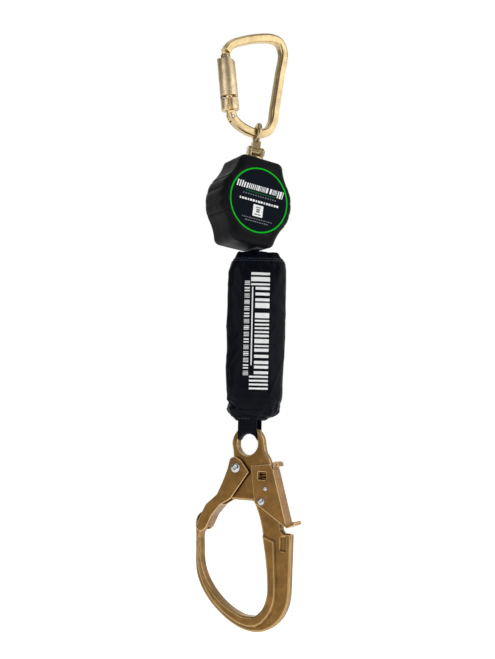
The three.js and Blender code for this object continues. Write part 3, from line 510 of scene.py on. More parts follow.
def plain(made):
    """Bakes an object's modifiers into a plain mesh."""
    graph = bpy.context.evaluated_depsgraph_get()
    mesh = bpy.data.meshes.new_from_object(made.evaluated_get(graph))
    made.modifiers.clear()
    made.data = mesh
    return made


def smooth(made, angle=38):
    """Smooth shading up to an angle between faces, in degrees."""
    made.data.shade_smooth()
    made.data.set_sharp_from_angle(angle=math.radians(angle))
    return made


def mark_edges(made, reach=3):
    """Stores how far each point stands out, from -1 in a hollow to 1 on an edge, in the attribute edge."""
    mesh = made.data
    count = len(mesh.vertices)
    co = np.zeros(count * 3)
    mesh.vertices.foreach_get("co", co)
    co = co.reshape(-1, 3)
    normals = np.zeros(count * 3)
    mesh.vertices.foreach_get("normal", normals)
    normals = normals.reshape(-1, 3)
    ends = np.zeros(len(mesh.edges) * 2, int)
    mesh.edges.foreach_get("vertices", ends)
    a, b = ends.reshape(-1, 2).T
    along = co[b] - co[a]
    length = np.maximum(np.linalg.norm(along, axis=1), 1e-9)
    rise = np.einsum("ij,ij->i", along, normals[a]) / length
    fall = np.einsum("ij,ij->i", -along, normals[b]) / length
    total = np.bincount(a, -rise, count) + np.bincount(b, -fall, count)
    near = np.maximum(np.bincount(a, minlength=count) + np.bincount(b, minlength=count), 1)
    value = total / near
    for _ in range(reach):
        spread_out = np.bincount(a, value[b], count) + np.bincount(b, value[a], count)
        value = 0.5 * value + 0.5 * spread_out / near
    attribute = mesh.attributes.new("edge", "FLOAT", "POINT")
    attribute.data.foreach_set("value", np.clip(value * 6, -1, 1).astype(np.float32))
    return made


def node_copy(node, name):
    """A merged copy of a CAD node, with its flat faces joined up."""
    bm = bmesh.new()
    bm.from_mesh(frame["nodes"][node].data)
    bmesh.ops.remove_doubles(bm, verts=bm.verts, dist=2e-6)
    bmesh.ops.dissolve_limit(bm, angle_limit=math.radians(0.6), verts=bm.verts, edges=bm.edges)
    mesh = bpy.data.meshes.new(name)
    bm.to_mesh(mesh)
    bm.free()
    return link(name, mesh)


def refined(node, name, key, width=0.35, segments=2, angle=28):
    """A copy of a CAD node with its sharp edges broken; width in millimetres."""
    made = node_copy(node, name)
    bevel = made.modifiers.new("edges", "BEVEL")
    bevel.width = width * MM
    bevel.segments = segments
    bevel.limit_method = "ANGLE"
    bevel.angle_limit = math.radians(angle)
    bevel.harden_normals = False
    plain(made)
    paint(made.data, key)
    return mark_edges(smooth(made), 1)


def forged(made, voxel, passes, factor=0.5):
    """Remeshes a solid evenly and softens all its edges, as forging does; voxel in millimetres."""
    remesh = made.modifiers.new("even", "REMESH")
    remesh.mode = "VOXEL"
    remesh.voxel_size = voxel * MM
    soften = made.modifiers.new("soften", "SMOOTH")
    soften.factor = factor
    soften.iterations = passes
    plain(made)
    made.data.shade_smooth()
    return mark_edges(made)


def subtract(made, cutters):
    """Cuts closed solids out of a solid."""
    for cutter in cutters:
        cut = made.modifiers.new("cut", "BOOLEAN")
        cut.operation = "DIFFERENCE"
        cut.solver = "EXACT"
        cut.object = cutter
    plain(made)
    for cutter in cutters:
        bpy.data.objects.remove(cutter)
    return made


def box_solid(low, high, place=Matrix.Identity(4)):
    """A box between two corners given in millimetres in a frame."""
    corners = [Vector([(low, high)[bit][i] * MM for i, bit in enumerate(bits)])
               for bits in ((x, y, z) for x in (0, 1) for y in (0, 1) for z in (0, 1))]
    faces = [(0, 1, 3, 2), (4, 6, 7, 5), (0, 4, 5, 1), (2, 3, 7, 6), (0, 2, 6, 4), (1, 5, 7, 3)]
    return link("cutter", mesh_of("cutter", [place @ c for c in corners], faces))


def rod_solid(radius, start, end, place=Matrix.Identity(4), sides=64):
    """A cylinder between two points given in millimetres in a frame."""
    start, end = Vector(start) * MM, Vector(end) * MM
    turn = (end - start).to_track_quat("Z", "Y").to_matrix()
    ring = [Vector((math.cos(t), math.sin(t), 0)) * radius * MM
            for t in (2 * math.pi * i / sides for i in range(sides))]
    points = [place @ (centre + turn @ p) for centre in (start, end) for p in ring]
    faces = [tuple(range(sides))[::-1], tuple(range(sides, 2 * sides))]
    faces += [(i, (i + 1) % sides, sides + (i + 1) % sides, sides + i) for i in range(sides)]
    return link("cutter", mesh_of("cutter", points, faces))


def smooth_line(points, count):
    """A smooth line through points, with evenly spaced steps."""
    points = [Vector(p) for p in points]
    ends = [2 * points[0] - points[1], *points, 2 * points[-1] - points[-2]]
    fine = []
    for i in range(1, len(ends) - 2):
        p0, p1, p2, p3 = ends[i - 1:i + 3]
        t1 = (p1 - p0).length ** 0.5
        t2 = t1 + (p2 - p1).length ** 0.5
        t3 = t2 + (p3 - p2).length ** 0.5
        for step in range(24):
            t = t1 + (t2 - t1) * step / 24
            a1 = p0.lerp(p1, t / t1)
            a2 = p1.lerp(p2, (t - t1) / (t2 - t1))
            a3 = p2.lerp(p3, (t - t2) / (t3 - t2))
            b1 = a1.lerp(a2, t / t2)
            b2 = a2.lerp(a3, (t - t1) / (t3 - t1))
            fine.append(b1.lerp(b2, (t - t1) / (t2 - t1)))
    fine.append(points[-1])
    reach = np.concatenate([[0], np.cumsum([(b - a).length for a, b in zip(fine, fine[1:])])])
    places = np.linspace(0, reach[-1], count)
    columns = np.array(fine)
    return [Vector([np.interp(place, reach, columns[:, i]) for i in range(3)]) for place in places]


def rings(name, loops, caps=True):
    """A closed skin over loops of equal length."""
    size = len(loops[0])
    points = [p for loop in loops for p in loop]
    faces = []
    for row in range(len(loops) - 1):
        low, high = row * size, (row + 1) * size
        faces += [(low + i, low + (i + 1) % size, high + (i + 1) % size, high + i) for i in range(size)]
    if caps:
        faces += [tuple(range(size))[::-1], tuple(range((len(loops) - 1) * size, len(loops) * size))]
    return mesh_of(name, points, faces)


def piece(made, body, slot, *nodes):
    """Says what a finished piece rides on and hides the CAD nodes it stands for; slot, its finish, is not
    used.
    """
    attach(made, body)
    if nodes:
        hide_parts(*nodes)
    return made


def dress(node, key):
    """Gives a CAD node that stays its material."""
    paint(frame["nodes"][node].data, key)


# ---------------------------------------------------------------- geometry nodes
def grow_tree(name, sizes):
    """A Geometry Nodes group with a geometry input, named size inputs and a geometry output."""
    tree = bpy.data.node_groups.new(name, "GeometryNodeTree")
    tree.interface.new_socket("Geometry", in_out="INPUT", socket_type="NodeSocketGeometry")
    for label, (kind, default) in sizes.items():
        socket = tree.interface.new_socket(label, in_out="INPUT", socket_type=f"NodeSocket{kind}")
        socket.default_value = default
    tree.interface.new_socket("Geometry", in_out="OUTPUT", socket_type="NodeSocketGeometry")
    return tree, tree.nodes.new("NodeGroupInput").outputs


def finish_tree(tree, geometry, material):
    """Ends a tree in Realize Instances and Set Material."""
    real = add(tree, "GeometryNodeRealizeInstances", wires={"Geometry": geometry})
    painted = add(tree, "GeometryNodeSetMaterial", {"Material": material}, {"Geometry": real.outputs[0]})
    add(tree, "NodeGroupOutput", wires={"Geometry": painted.outputs[0]})


def grown(name, mesh, tree, sizes):
    """A plain mesh grown by a tree over a carrier mesh, with its named sizes set."""
    made = link(name, mesh)
    modifier = made.modifiers.new("grow", "NODES")
    for item in tree.interface.items_tree:
        if item.item_type == "SOCKET" and item.in_out == "INPUT" and item.name in sizes:
            modifier[item.identifier] = sizes[item.name]
    modifier.node_group = tree
    for item in tree.interface.items_tree:
        if item.item_type == "SOCKET" and item.in_out == "INPUT" and item.name in sizes:
            modifier[item.identifier] = sizes[item.name]
    return plain(made)


def stitch_tree(material):
    """Lock stitches along a line: one short rounded bar for each stitch."""
    tree, given = grow_tree("stitches", {"Spacing": ("Float", 3.6 * MM), "Length": ("Float", 3 * MM),
                                         "Radius": ("Float", 0.4 * MM)})
    curve = add(tree, "GeometryNodeMeshToCurve", wires={"Mesh": given["Geometry"]})
    points = add(tree, "GeometryNodeCurveToPoints", mode="LENGTH",
                 wires={"Curve": curve.outputs[0], "Length": given["Spacing"]})
    bar = add(tree, "GeometryNodeMeshCylinder", {"Vertices": 6, "Side Segments": 2},
              {"Radius": given["Radius"], "Depth": given["Length"]})
    placed_bars = add(tree, "GeometryNodeInstanceOnPoints",
                      wires={"Points": points.outputs["Points"], "Instance": bar.outputs["Mesh"],
                             "Rotation": points.outputs["Rotation"]})
    finish_tree(tree, placed_bars.outputs[0], material)
    return tree


# A rivet head's height over its radius, both as shares: a dimple, a ring round it and a falling dome.
RIVET_PROFILE = ((0.0, 0.52), (0.16, 0.55), (0.27, 0.70), (0.36, 0.97), (0.52, 0.95), (0.74, 0.74),
                 (0.9, 0.42), (1.0, 0.0))


def rivet_tree(material):
    """A riveted pin: a shank and a domed, dimpled head on each end, turned to the pin's own line."""
    tree, given = grow_tree("rivets", {"Head radius": ("Float", 6 * MM), "Dome": ("Float", 2.4 * MM),
                                       "Shank radius": ("Float", 3.5 * MM), "Grip": ("Float", 19 * MM)})
    disc = add(tree, "GeometryNodeMeshCylinder", {"Vertices": 48, "Side Segments": 2, "Fill Segments": 14,
                                                  "Depth": 0.6 * MM}, {"Radius": given["Head radius"]})
    place = add(tree, "GeometryNodeInputPosition").outputs[0]
    parts = add(tree, "ShaderNodeSeparateXYZ", wires={"Vector": place}).outputs
    flat = add(tree, "ShaderNodeCombineXYZ", wires={"X": parts["X"], "Y": parts["Y"]}).outputs[0]
    radius = add(tree, "ShaderNodeVectorMath", wires={0: flat}, operation="LENGTH").outputs["Value"]
    share = add(tree, "ShaderNodeMath", wires={0: radius, 1: given["Head radius"]},
                operation="DIVIDE").outputs[0]
    curve = add(tree, "ShaderNodeFloatCurve", wires={"Value": share})
    line = curve.mapping.curves[0]
    line.points[0].location = RIVET_PROFILE[0]
    line.points[-1].location = RIVET_PROFILE[-1]
    for point in RIVET_PROFILE[1:-1]:
        line.points.new(*point)
    curve.mapping.update()
    height = add(tree, "ShaderNodeMath", wires={0: curve.outputs[0], 1: given["Dome"]},
                 operation="MULTIPLY").outputs[0]
    lift = add(tree, "ShaderNodeCombineXYZ", wires={"Z": height}).outputs[0]
    above = add(tree, "FunctionNodeCompare", {"B": 0.0}, {"A": parts["Z"]}, data_type="FLOAT",
                operation="GREATER_THAN").outputs[0]
    head = add(tree, "GeometryNodeSetPosition",
               wires={"Geometry": disc.outputs["Mesh"], "Selection": above, "Offset": lift}).outputs[0]
    half = add(tree, "ShaderNodeMath", {1: 0.5}, {0: given["Grip"]}, operation="MULTIPLY").outputs[0]
    up = add(tree, "ShaderNodeCombineXYZ", wires={"Z": half}).outputs[0]
    top = add(tree, "GeometryNodeTransform", wires={"Geometry": head, "Translation": up}).outputs[0]
    bottom = add(tree, "GeometryNodeTransform", {"Rotation": (math.pi, 0, 0)}, {"Geometry": top}).outputs[0]
    shank = add(tree, "GeometryNodeMeshCylinder", {"Vertices": 32},
                {"Radius": given["Shank radius"], "Depth": given["Grip"]}).outputs["Mesh"]
    joined = add(tree, "GeometryNodeJoinGeometry").inputs[0]
    for source in (top, bottom, shank):
        tree.links.new(source, joined)
    points = add(tree, "GeometryNodeMeshToPoints", wires={"Mesh": given["Geometry"]}).outputs[0]
    line = add(tree, "GeometryNodeInputNamedAttribute", {"Name": "line"}, data_type="FLOAT_VECTOR")
    turn = add(tree, "FunctionNodeAlignRotationToVector", wires={"Vector": line.outputs[0]},
               axis="Z").outputs[0]
    pins = add(tree, "GeometryNodeInstanceOnPoints",
               wires={"Points": points, "Instance": joined.node.outputs[0], "Rotation": turn}).outputs[0]
    finish_tree(tree, pins, material)
    return tree


# ---------------------------------------------------------------- stage
class LIFELINE_OT_stage(bpy.types.Operator):
    """Camera, soft studio light, pale floor"""

    bl_idname = "lifeline.stage"
    bl_label = "Stage"

    def execute(self, context):
        context.scene.view_settings.view_transform = "Standard"
        self.camera(context)
        self.floor()
        self.lights()
        self.world(context)
        return {"FINISHED"}

    @staticmethod
    def camera(context):
        azimuth, distance, height = math.radians(-29.6), 1.1, -0.447
        aim_up, aim_side, roll = math.radians(5.41), math.radians(0.33), math.radians(1.3)
        back = Vector((math.sin(azimuth), -math.cos(azimuth), 0))
        forward = -back * math.cos(aim_up) + Vector((0, 0, math.sin(aim_up)))
        right = forward.cross(Vector((0, 0, 1))).normalized()
        up = right.cross(forward)
        swing = Matrix.Rotation(aim_side, 3, "Z")
        forward, right, up = swing @ forward, swing @ right, swing @ up
        rolled_right = right * math.cos(roll) + up * math.sin(roll)
        rolled_up = up * math.cos(roll) - right * math.sin(roll)
        made = bpy.data.objects.new("camera", bpy.data.cameras.new("camera"))
        context.scene.collection.objects.link(made)
        turn = Matrix((rolled_right, rolled_up, -forward)).transposed()
        made.matrix_world = Matrix.Translation(back * distance + Vector((0, 0, height))) @ turn.to_4x4()
        made.data.lens = 52.17
        made.data.clip_end = 50
        context.scene.camera = made

    @staticmethod
    def floor():
        level = CAD_LOW.z - 0.06
        corners = [(-9, -9, level), (9, -9, level), (9, 9, level), (-9, 9, level)]
        link("floor", mesh_of("floor", corners, [(0, 1, 2, 3)]), "stage")

    @staticmethod
    def lights():
        aim = Vector((0, 0, -0.33))
        boxes = (
            ("key", (0.95, -1.5, 0.35), 1.7, 15),
            ("left", (-1.6, -0.5, 0.1), 0.9, 5),
            ("top", (-0.2, -0.3, 1.25), 1.0, 3),
            ("right", (1.5, -0.3, 0.0), 0.9, 5),
        )
        for name, place, size, power in boxes:
            lamp = bpy.data.lights.new(name, "AREA")
            lamp.shape = "SQUARE"
            lamp.size = size
            lamp.energy = power
            made = bpy.data.objects.new(name, lamp)
            bpy.context.scene.collection.objects.link(made)
            made.location = place
            made.rotation_euler = (aim - Vector(place)).to_track_quat("-Z", "Y").to_euler()

    @staticmethod
    def world(context):
        world = bpy.data.worlds.new("studio")
        context.scene.world = world
        world.use_nodes = True
        tree = world.node_tree
        tree.nodes.clear()
        around = add(tree, "ShaderNodeTexCoord").outputs["Generated"]
        height = add(tree, "ShaderNodeSeparateXYZ", wires={0: around}).outputs["Z"]
        greys = [(0.0, "#1B1A18"), (0.38, "#55534F"), (0.7, "#8F8E8A"), (1.0, "#B9B8B4")]
        lit = ramp(tree, spread(tree, height, 0, 1, -0.5, 0.8), greys)
        ahead = add(tree, "ShaderNodeVectorMath", {1: (0.494, 0.870, 0.0)}, {0: around},
                    operation="DOT_PRODUCT").outputs["Value"]
        behind = blend_colour(tree, spread(tree, ahead, 0.0, 1.0, 0.15, 0.9), lit, "#FFFFFF")
        strength = spread(tree, ahead, 0.5, 1.5, 0.3, 0.95)
        room = add(tree, "ShaderNodeBackground", wires={"Color": behind, "Strength": strength}).outputs[0]
        white = add(tree, "ShaderNodeBackground", {"Color": (1, 1, 1, 1), "Strength": 1.0}).outputs[0]
        seen = add(tree, "ShaderNodeLightPath").outputs["Is Camera Ray"]
        mixed = add(tree, "ShaderNodeMixShader", wires={0: seen, 1: room, 2: white}).outputs[0]
        add(tree, "ShaderNodeOutputWorld", wires={"Surface": mixed})


# ---------------------------------------------------------------- carabiner
# The bar's centreline in millimetres, from the nose over the top, down the spine and round to the hinge.
BAR_LINE = [
    (-45.2, -20.4), (-39.2, -11.7), (-23.8, -3.1), (-0.2, 5.3), (15.6, 8.4), (26.6, 6.2), (32.8, -5.4),
    (28.8, -35.5), (22.7, -76.4), (20.1, -94.5), (12.6, -106.4), (-2, -110.7), (-21.5, -106.4), (-33, -98.6),
    (-36.1, -92),
]


def rounded_section(width, depth, corner, steps=5):
    """A rectangle with rounded corners as (along the width, along the depth) pairs."""
    w, d = width / 2 - corner, depth / 2 - corner
    places = []
    for quarter, (x, y) in enumerate(((w, d), (-w, d), (-w, -d), (w, -d))):
        for i in range(steps + 1):
            angle = math.pi / 2 * (quarter + i / steps)
            places.append((x + corner * math.cos(angle), y + corner * math.sin(angle)))
    return places


class LIFELINE_OT_carabiner(bpy.types.Operator):
    """Forged carabiner bar with its gate and pins"""

    bl_idname = "lifeline.carabiner"
    bl_label = "Carabiner"

    def execute(self, context):
        size = context.scene.lifeline_sizes
        line = smooth_line([Vector((x, 0, z)) * MM for x, z in BAR_LINE], 190)
        section = rounded_section(size.bar_width, size.bar_depth, size.bar_corner)
        loops = []
        for i, point in enumerate(line):
            along = (line[min(i + 1, len(line) - 1)] - line[max(i - 1, 0)]).normalized()
            across = Vector((along.z, 0, -along.x))
            loops.append([point + across * w + Vector((0, d, 0)) for w, d in section])
        bar = link("carabiner_frame", rings("carabiner_frame", loops))
        gate_length = 74
        slot_half = 2.5
        pin_radius = 2
        subtract(bar, [
            box_solid((-9, -slot_half, -6.2), (9, slot_half, 9), GATE),
            box_solid((-12, -9, 5), (12, 9, 20), GATE),
            box_solid((-12, -9, gate_length - 12), (12, 9, gate_length + 0.8), GATE),
            rod_solid(pin_radius, (0, -9, 0), (0, 9, 0), GATE, 24),
        ])
        forged(bar, 0.42, 3)
        paint(bar.data, "bar")
        piece(bar, "carabiner", "gold_steel", "carabiner_body")
        tongue = box_solid((-4.2, -1.6, 69.5), (4.2, 1.6, 76), GATE)
        tongue.name = "nose_tongue"
        paint(tongue.data, "bar")
        piece(mark_edges(smooth(tongue)), "carabiner", "gold_steel")
        for node, name, key, slot in (
            ("carabiner_gate", "gate_bar", "bar", "gold_steel"),
            ("gate_latch_pin", "gate_latch_rivet", "zinc", "zinc_steel"),
            ("sleeve_guide_pin", "sleeve_guide", "zinc", "zinc_steel"),
            ("gate_plunger", "plunger", "zinc", "zinc_steel"),
        ):
            piece(refined(node, name, key), "carabiner_gate", slot, node)
        piece(refined("gate_hinge_pin", "gate_pivot", "zinc"), "carabiner", "zinc_steel", "gate_hinge_pin")
        dress("gate_spring", "spring")
        return {"FINISHED"}


class LIFELINE_OT_lock_sleeve(bpy.types.Operator):
    """Knurled twist-lock sleeve round the gate"""

    bl_idname = "lifeline.lock_sleeve"
    bl_label = "Lock sleeve"

    def execute(self, context):
        sleeve = refined("lock_sleeve", "twist_sleeve", "sleeve", 0.5, 3)
        piece(sleeve, "lock_sleeve", "sleeve_steel", "lock_sleeve")
        dress("sleeve_spring", "spring")
        return {"FINISHED"}


# ---------------------------------------------------------------- swivel
class LIFELINE_OT_swivel(bpy.types.Operator):
    """Swivel eye, yoke and pin"""

    bl_idname = "lifeline.swivel"
    bl_label = "Swivel"

    def execute(self, context):
        eye = forged(node_copy("swivel_eye", "swivel_ring"), 0.38, 4)
        paint(eye.data, "swivel")
        piece(eye, "swivel_eye", "gold_steel", "swivel_eye")
        yoke = forged(node_copy("swivel_yoke", "swivel_fork"), 0.38, 3)
        paint(yoke.data, "swivel")
        piece(yoke, "swivel_yoke", "gold_steel", "swivel_yoke")
        piece(refined("yoke_pin", "fork_pin", "zinc"), "swivel_yoke", "zinc_steel", "yoke_pin")
        dress("swivel_washer", "bronze")
        dress("swivel_nut", "zinc")
        return {"FINISHED"}


# ---------------------------------------------------------------- housing
HOUSING_RADIUS = 45.0
HOUSING_HALF_HEIGHT = 50.8
HOUSING_HALF_TOP = 26.5
HOUSING_DEPTH = 49.0
HOUSING_WALL = 3.0
REAR_ROUNDING = 3.6
HOUSING_FLARE = math.radians(34.7)
LABEL_RADIUS = 38.5
LOBE_PITCH = math.radians(18)
STUD_HOLE = 6.9
OUTLET_PLACE = (15.3, 2.5)
OUTLET_SIZE = (9.2, 30)
SCREW_WELL = 3.5
SCREW_X = 24
SCREW_Z = 44


def housing_outline(inset, lobe):
    """The housing's outline in millimetres: a lobed round with a block above and below, drawn in by inset."""
    radius = HOUSING_RADIUS - inset
    top = HOUSING_HALF_TOP - inset
    height = HOUSING_HALF_HEIGHT - inset
    corner = 7.5
    foot = Vector((radius * math.cos(HOUSING_FLARE), radius * math.sin(HOUSING_FLARE)))
    quarter = []
    steps = 44
    for i in range(steps):
        angle = HOUSING_FLARE * i / steps
        wave = abs(math.cos(math.pi * angle / LOBE_PITCH)) ** 0.5
        bulge = lobe * (wave - 0.3) * min(1, (HOUSING_FLARE - angle) / 0.12)
        quarter.append(Vector((math.cos(angle), math.sin(angle))) * (radius + bulge))
    shoulder = Vector((top + 2.2, height - corner))
    crown = Vector((top + 1 - corner, height))
    knee = foot.lerp(shoulder, 0.5) + Vector((-1.4, -1.0))
    for i in range(14):
        t = i / 14
        quarter.append(foot * (1 - t) ** 2 + knee * 2 * t * (1 - t) + shoulder * t * t)
    for i in range(12):
        t = i / 12
        middle = Vector((top + 1, height))
        quarter.append(shoulder * (1 - t) ** 2 + middle * 2 * t * (1 - t) + crown * t * t)
    for i in range(8):
        quarter.append(Vector((crown.x * (1 - i / 8), height)))
    right_down = [Vector((p.x, -p.y)) for p in quarter[:0:-1]]
    right = [Vector((0, -height))] + right_down + quarter
    side = [Vector((radius + lobe * 0.7, 0))]
    mirrored = [Vector((0, height))] + quarter[:0:-1] + side + [Vector((p.x, -p.y)) for p in quarter[1:]]
    left = [Vector((-p.x, p.y)) for p in mirrored]
    return right + left


def housing_half(name, side, size):
    """One hollow half of the housing; side is -1 for the front and 1 for the rear."""
    rounding = size.housing_round / MM if side < 0 else REAR_ROUNDING
    face = HOUSING_DEPTH / 2
    seam = 0.35
    levels = [(0.15, seam), (0.15 + seam, 0.0)] + [(d, 0.0) for d in np.linspace(2.5, face - rounding, 6)]
    for i in range(1, 9):
        angle = math.pi / 2 * i / 8
        levels.append((face - rounding + rounding * math.sin(angle), rounding * (1 - math.cos(angle))))
    loops = []
    for depth, inset in levels:
        fade = max(0.0, min(1.0, (face - rounding * 0.6 - depth) / 6))
        wave = size.lobe / MM * (0.35 + 0.65 * fade)
        outline = housing_outline(inset, wave)
        loops.append([HOUSING @ (Vector((p.x, side * depth, p.y)) * MM) for p in outline])
    hollow = housing_outline(HOUSING_WALL, 0.0)
    inner = [[HOUSING @ (Vector((p.x, side * depth, p.y)) * MM) for p in hollow]
             for depth in (face - HOUSING_WALL, 0.15)]
    made = link(name, closed_cup(name, loops, inner))
    x, y = OUTLET_PLACE
    wide, deep = OUTLET_SIZE
    cutters = [
        rod_solid(LABEL_RADIUS + 0.3, (0, side * (face - 0.9), 0), (0, side * (face + 2), 0), HOUSING, 128),
        rod_solid(STUD_HOLE, (0, 0, 30), (0, 0, 60), HOUSING, 48),
        box_solid((x - wide / 2, y - deep / 2, -70), (x + wide / 2, y + deep / 2, -40), HOUSING),
    ]
    if side > 0:
        cutters += [rod_solid(SCREW_WELL, (x, face - 4.2, z), (x, face + 2, z), HOUSING, 32)
                    for x in (-SCREW_X, SCREW_X) for z in (-SCREW_Z, SCREW_Z)]
    subtract(made, cutters)
    paint(made.data, "moulding")
    return mark_edges(smooth(made, 30), 2)


def closed_cup(name, outer, inner):
    """A cup with a wall: outer loops from the mouth to the face, inner loops from the face to the mouth."""
    size = len(outer[0])
    loops = outer + inner
    points = [p for loop in loops for p in loop]
    faces = []
    last = len(loops)
    for row in range(last):
        if row == len(outer) - 1:
            continue
        low, high = row * size, (row + 1) % last * size
        faces += [(low + i, low + (i + 1) % size, high + (i + 1) % size, high + i) for i in range(size)]
    for row in (len(outer) - 1, len(outer)):
        faces.append(tuple(range(row * size, (row + 1) * size)))
    return mesh_of(name, points, faces)


class LIFELINE_OT_housing(bpy.types.Operator):
    """Two moulded housing halves and their screws"""

    bl_idname = "lifeline.housing"
    bl_label = "Housing"

    def execute(self, context):
        size = context.scene.lifeline_sizes
        for side, name, node in ((-1, "housing_front", "front_cover"), (1, "housing_rear", "rear_cover")):
            piece(housing_half(name, side, size), "housing", "black_plastic", node)
        for i in range(1, 5):
            node = f"cover_screw_{i}"
            piece(refined(node, f"housing_screw_{i}", "zinc", 0.25), "housing", "zinc_steel", node)
        piece(refined("web_guide", "outlet_guide", "nylon", 0.6, 3), "housing", "drum_plastic", "web_guide")
        return {"FINISHED"}


# ---------------------------------------------------------------- label
def disc_mesh(name, radius, low, high, hole=0.0, sides=160):
    """A flat ring or disc on the label's plane; low and high are depths along Y in millimetres."""
    edge = 0.12
    profile = [(radius, low), (radius, high + edge), (radius - edge, high)]
    if hole:
        profile += [(hole + edge, high), (hole, high + edge), (hole, low)]
    loops = []
    for r, y in profile:
        ring = [Vector((math.cos(t) * r, y, math.sin(t) * r)) * MM
                for t in (2 * math.pi * i / sides for i in range(sides))]
        loops.append([HOUSING @ p for p in ring])
    if hole:
        loops.append(loops[0])
        points = [p for loop in loops[:-1] for p in loop]
        faces = []
        count = len(loops) - 1
        for row in range(count):
            a, b = row * sides, (row + 1) % count * sides
            faces += [(a + i, a + (i + 1) % sides, b + (i + 1) % sides, b + i) for i in range(sides)]
        return mesh_of(name, points, faces)
    return rings(name, loops)


def bars_mesh(name, bars, front, thickness, slant=0.0):
    """Printed bars (x, z, width, height) on the label's plane in millimetres, leaning by slant."""
    points, faces = [], []
    for x, z, width, height in bars:
        start = len(points)
        for y in (front, front + thickness):
            for dx, dz in ((-1, -1), (1, -1), (1, 1), (-1, 1)):
                lean = slant * dz * height / 2
                points.append(HOUSING @ (Vector((x + dx * width / 2 + lean, y, z + dz * height / 2)) * MM))
        faces += [tuple(start + i for i in f) for f in
                  ((0, 1, 2, 3), (7, 6, 5, 4), (0, 4, 5, 1), (1, 5, 6, 2), (2, 6, 7, 3), (3, 7, 4, 0))]
    return mesh_of(name, points, faces)


# Plain parallel stripes (low, high, near, far) in a unit square, in place of lettering.
MARKS = (
    ((0.0, 1.0, 0.0, 0.2), (0.0, 1.0, 0.4, 0.6), (0.0, 1.0, 0.8, 1.0)),
    ((0.0, 1.0, 0.0, 0.34), (0.0, 1.0, 0.66, 1.0)),
    ((0.0, 1.0, 0.0, 0.14), (0.0, 1.0, 0.29, 0.43), (0.0, 1.0, 0.57, 0.71), (0.0, 1.0, 0.86, 1.0)),
    ((0.0, 1.0, 0.0, 0.2), (0.0, 1.0, 0.36, 0.7), (0.0, 1.0, 0.86, 1.0)),
)


def strokes(mark, low, high, near, far):
    """A mark's strokes stretched over a rectangle, as (low, high, near, far)."""
    return [(low + (high - low) * a, low + (high - low) * b, near + (far - near) * c, near + (far - near) * d)
            for a, b, c, d in MARKS[mark % len(MARKS)]]


class LIFELINE_OT_label(bpy.types.Operator):
    """Round label with generic printed bars"""

    bl_idname = "lifeline.label"
    bl_label = "Label"

    def execute(self, context):
        size = context.scene.lifeline_sizes
        film_face = -HOUSING_DEPTH / 2 + 0.15
        ring = size.label_ring / MM
        film = link("label_film", disc_mesh("label_film", LABEL_RADIUS, film_face + 0.6, film_face),
                    "label")
        piece(smooth(film), "housing", "label_film", "front_label")
        rear = link("rear_film", disc_mesh("rear_film", LABEL_RADIUS, -film_face - 0.6, -film_face - 0.12),
                    "label")
        piece(smooth(rear), "housing", "label_film", "rear_label")
        rim = link("label_rim", disc_mesh("label_rim", LABEL_RADIUS - 0.5, film_face - 0.02, film_face - 0.22,
                                          LABEL_RADIUS - 0.5 - ring), "rim")
        piece(smooth(rim), "housing", "label_film")
        ink, lift = film_face - 0.13, 0.12
        # A row of leaning marks of different widths, in place of a name.
        widths = [7.6, 5.2, 8.4, 6.0, 4.2, 7.6, 5.4, 7.4]
        gap = 1.3
        left = -(sum(widths) + gap * (len(widths) - 1)) / 2
        blocks = []
        for i, width in enumerate(widths):
            foot = 8.2 if i == len(widths) - 1 else 10.6
            head = 18.2 if i == 0 else 16.8
            for low, high, near, far in strokes(i, foot, head, left, left + width):
                blocks.append(((near + far) / 2, (low + high) / 2, far - near, high - low))
            left += width + gap
        dashes = [(x, -1.8, 2.6 if i % 3 else 1.6, 2.4) for i, x in enumerate(np.linspace(-24.5, 24.5, 15))]
        small = [(x, 4.6, 1.3, 1.5) for x in np.linspace(-21, 21, 14)]
        fine = [(x, -22.4, 2.4 if i % 2 else 1.5, 1.0) for i, x in enumerate(np.linspace(-19, 19, 13))]
        fine += [(x, -25.6, 1.7 if i % 2 else 2.5, 1.0) for i, x in enumerate(np.linspace(-14, 14, 10))]
        card = [(0, -12.6, 13, 13.6)]
        mark = [(0, -8.6, 7.0, 1.0), (0, -11.2, 4.6, 1.6), (0, -13.6, 4.6, 1.6), (0, -17.0, 8.6, 0.9)]
        for name, bars, key, front, slant in (
            ("label_blocks", blocks, "white", ink, 0.18),
            ("label_dashes", dashes, "white", ink, 0.0),
            ("label_small", small, "grey", ink, 0.0),
            ("label_fine", fine, "grey", ink, 0.0),
            ("label_line", [(1, 8.0, 39, 0.75)], "fine_green", ink, 0.0),
            ("label_card", card, "white", ink, 0.0),
            ("label_card_mark", mark, "ink", ink - 0.07, 0.0),
        ):
            made = link(name, bars_mesh(name, bars, front, lift, slant), key)
            piece(made, "housing", "label_film")
        return {"FINISHED"}


# ---------------------------------------------------------------- mechanism
class LIFELINE_OT_mechanism(bpy.types.Operator):
    """Finishes of the drum, ratchet, spring and frame inside the housing"""

    bl_idname = "lifeline.mechanism"
    bl_label = "Mechanism"

    def execute(self, context):
        for key, nodes in {
            "zinc": ("load_frame", "drum_shaft", "spring_arbor", "ratchet_ring", "spring_cover",
                     "pawl_1", "pawl_2", "pawl_pin_1", "pawl_pin_2"),
            "nylon": ("drum",),
            "bronze": ("front_bushing", "rear_bushing"),
            "spring": ("power_spring",),
            "web": ("web_coil", "web_lead", "absorber_core"),
        }.items():
            for node in nodes:
                dress(node, key)
        return {"FINISHED"}


# ---------------------------------------------------------------- shock pack
PACK_HALF_WIDTH = 33.4 * MM
PACK_HALF_DEPTH = 14.5 * MM
HOOK_SWING_ROOM = 4.0 * MM
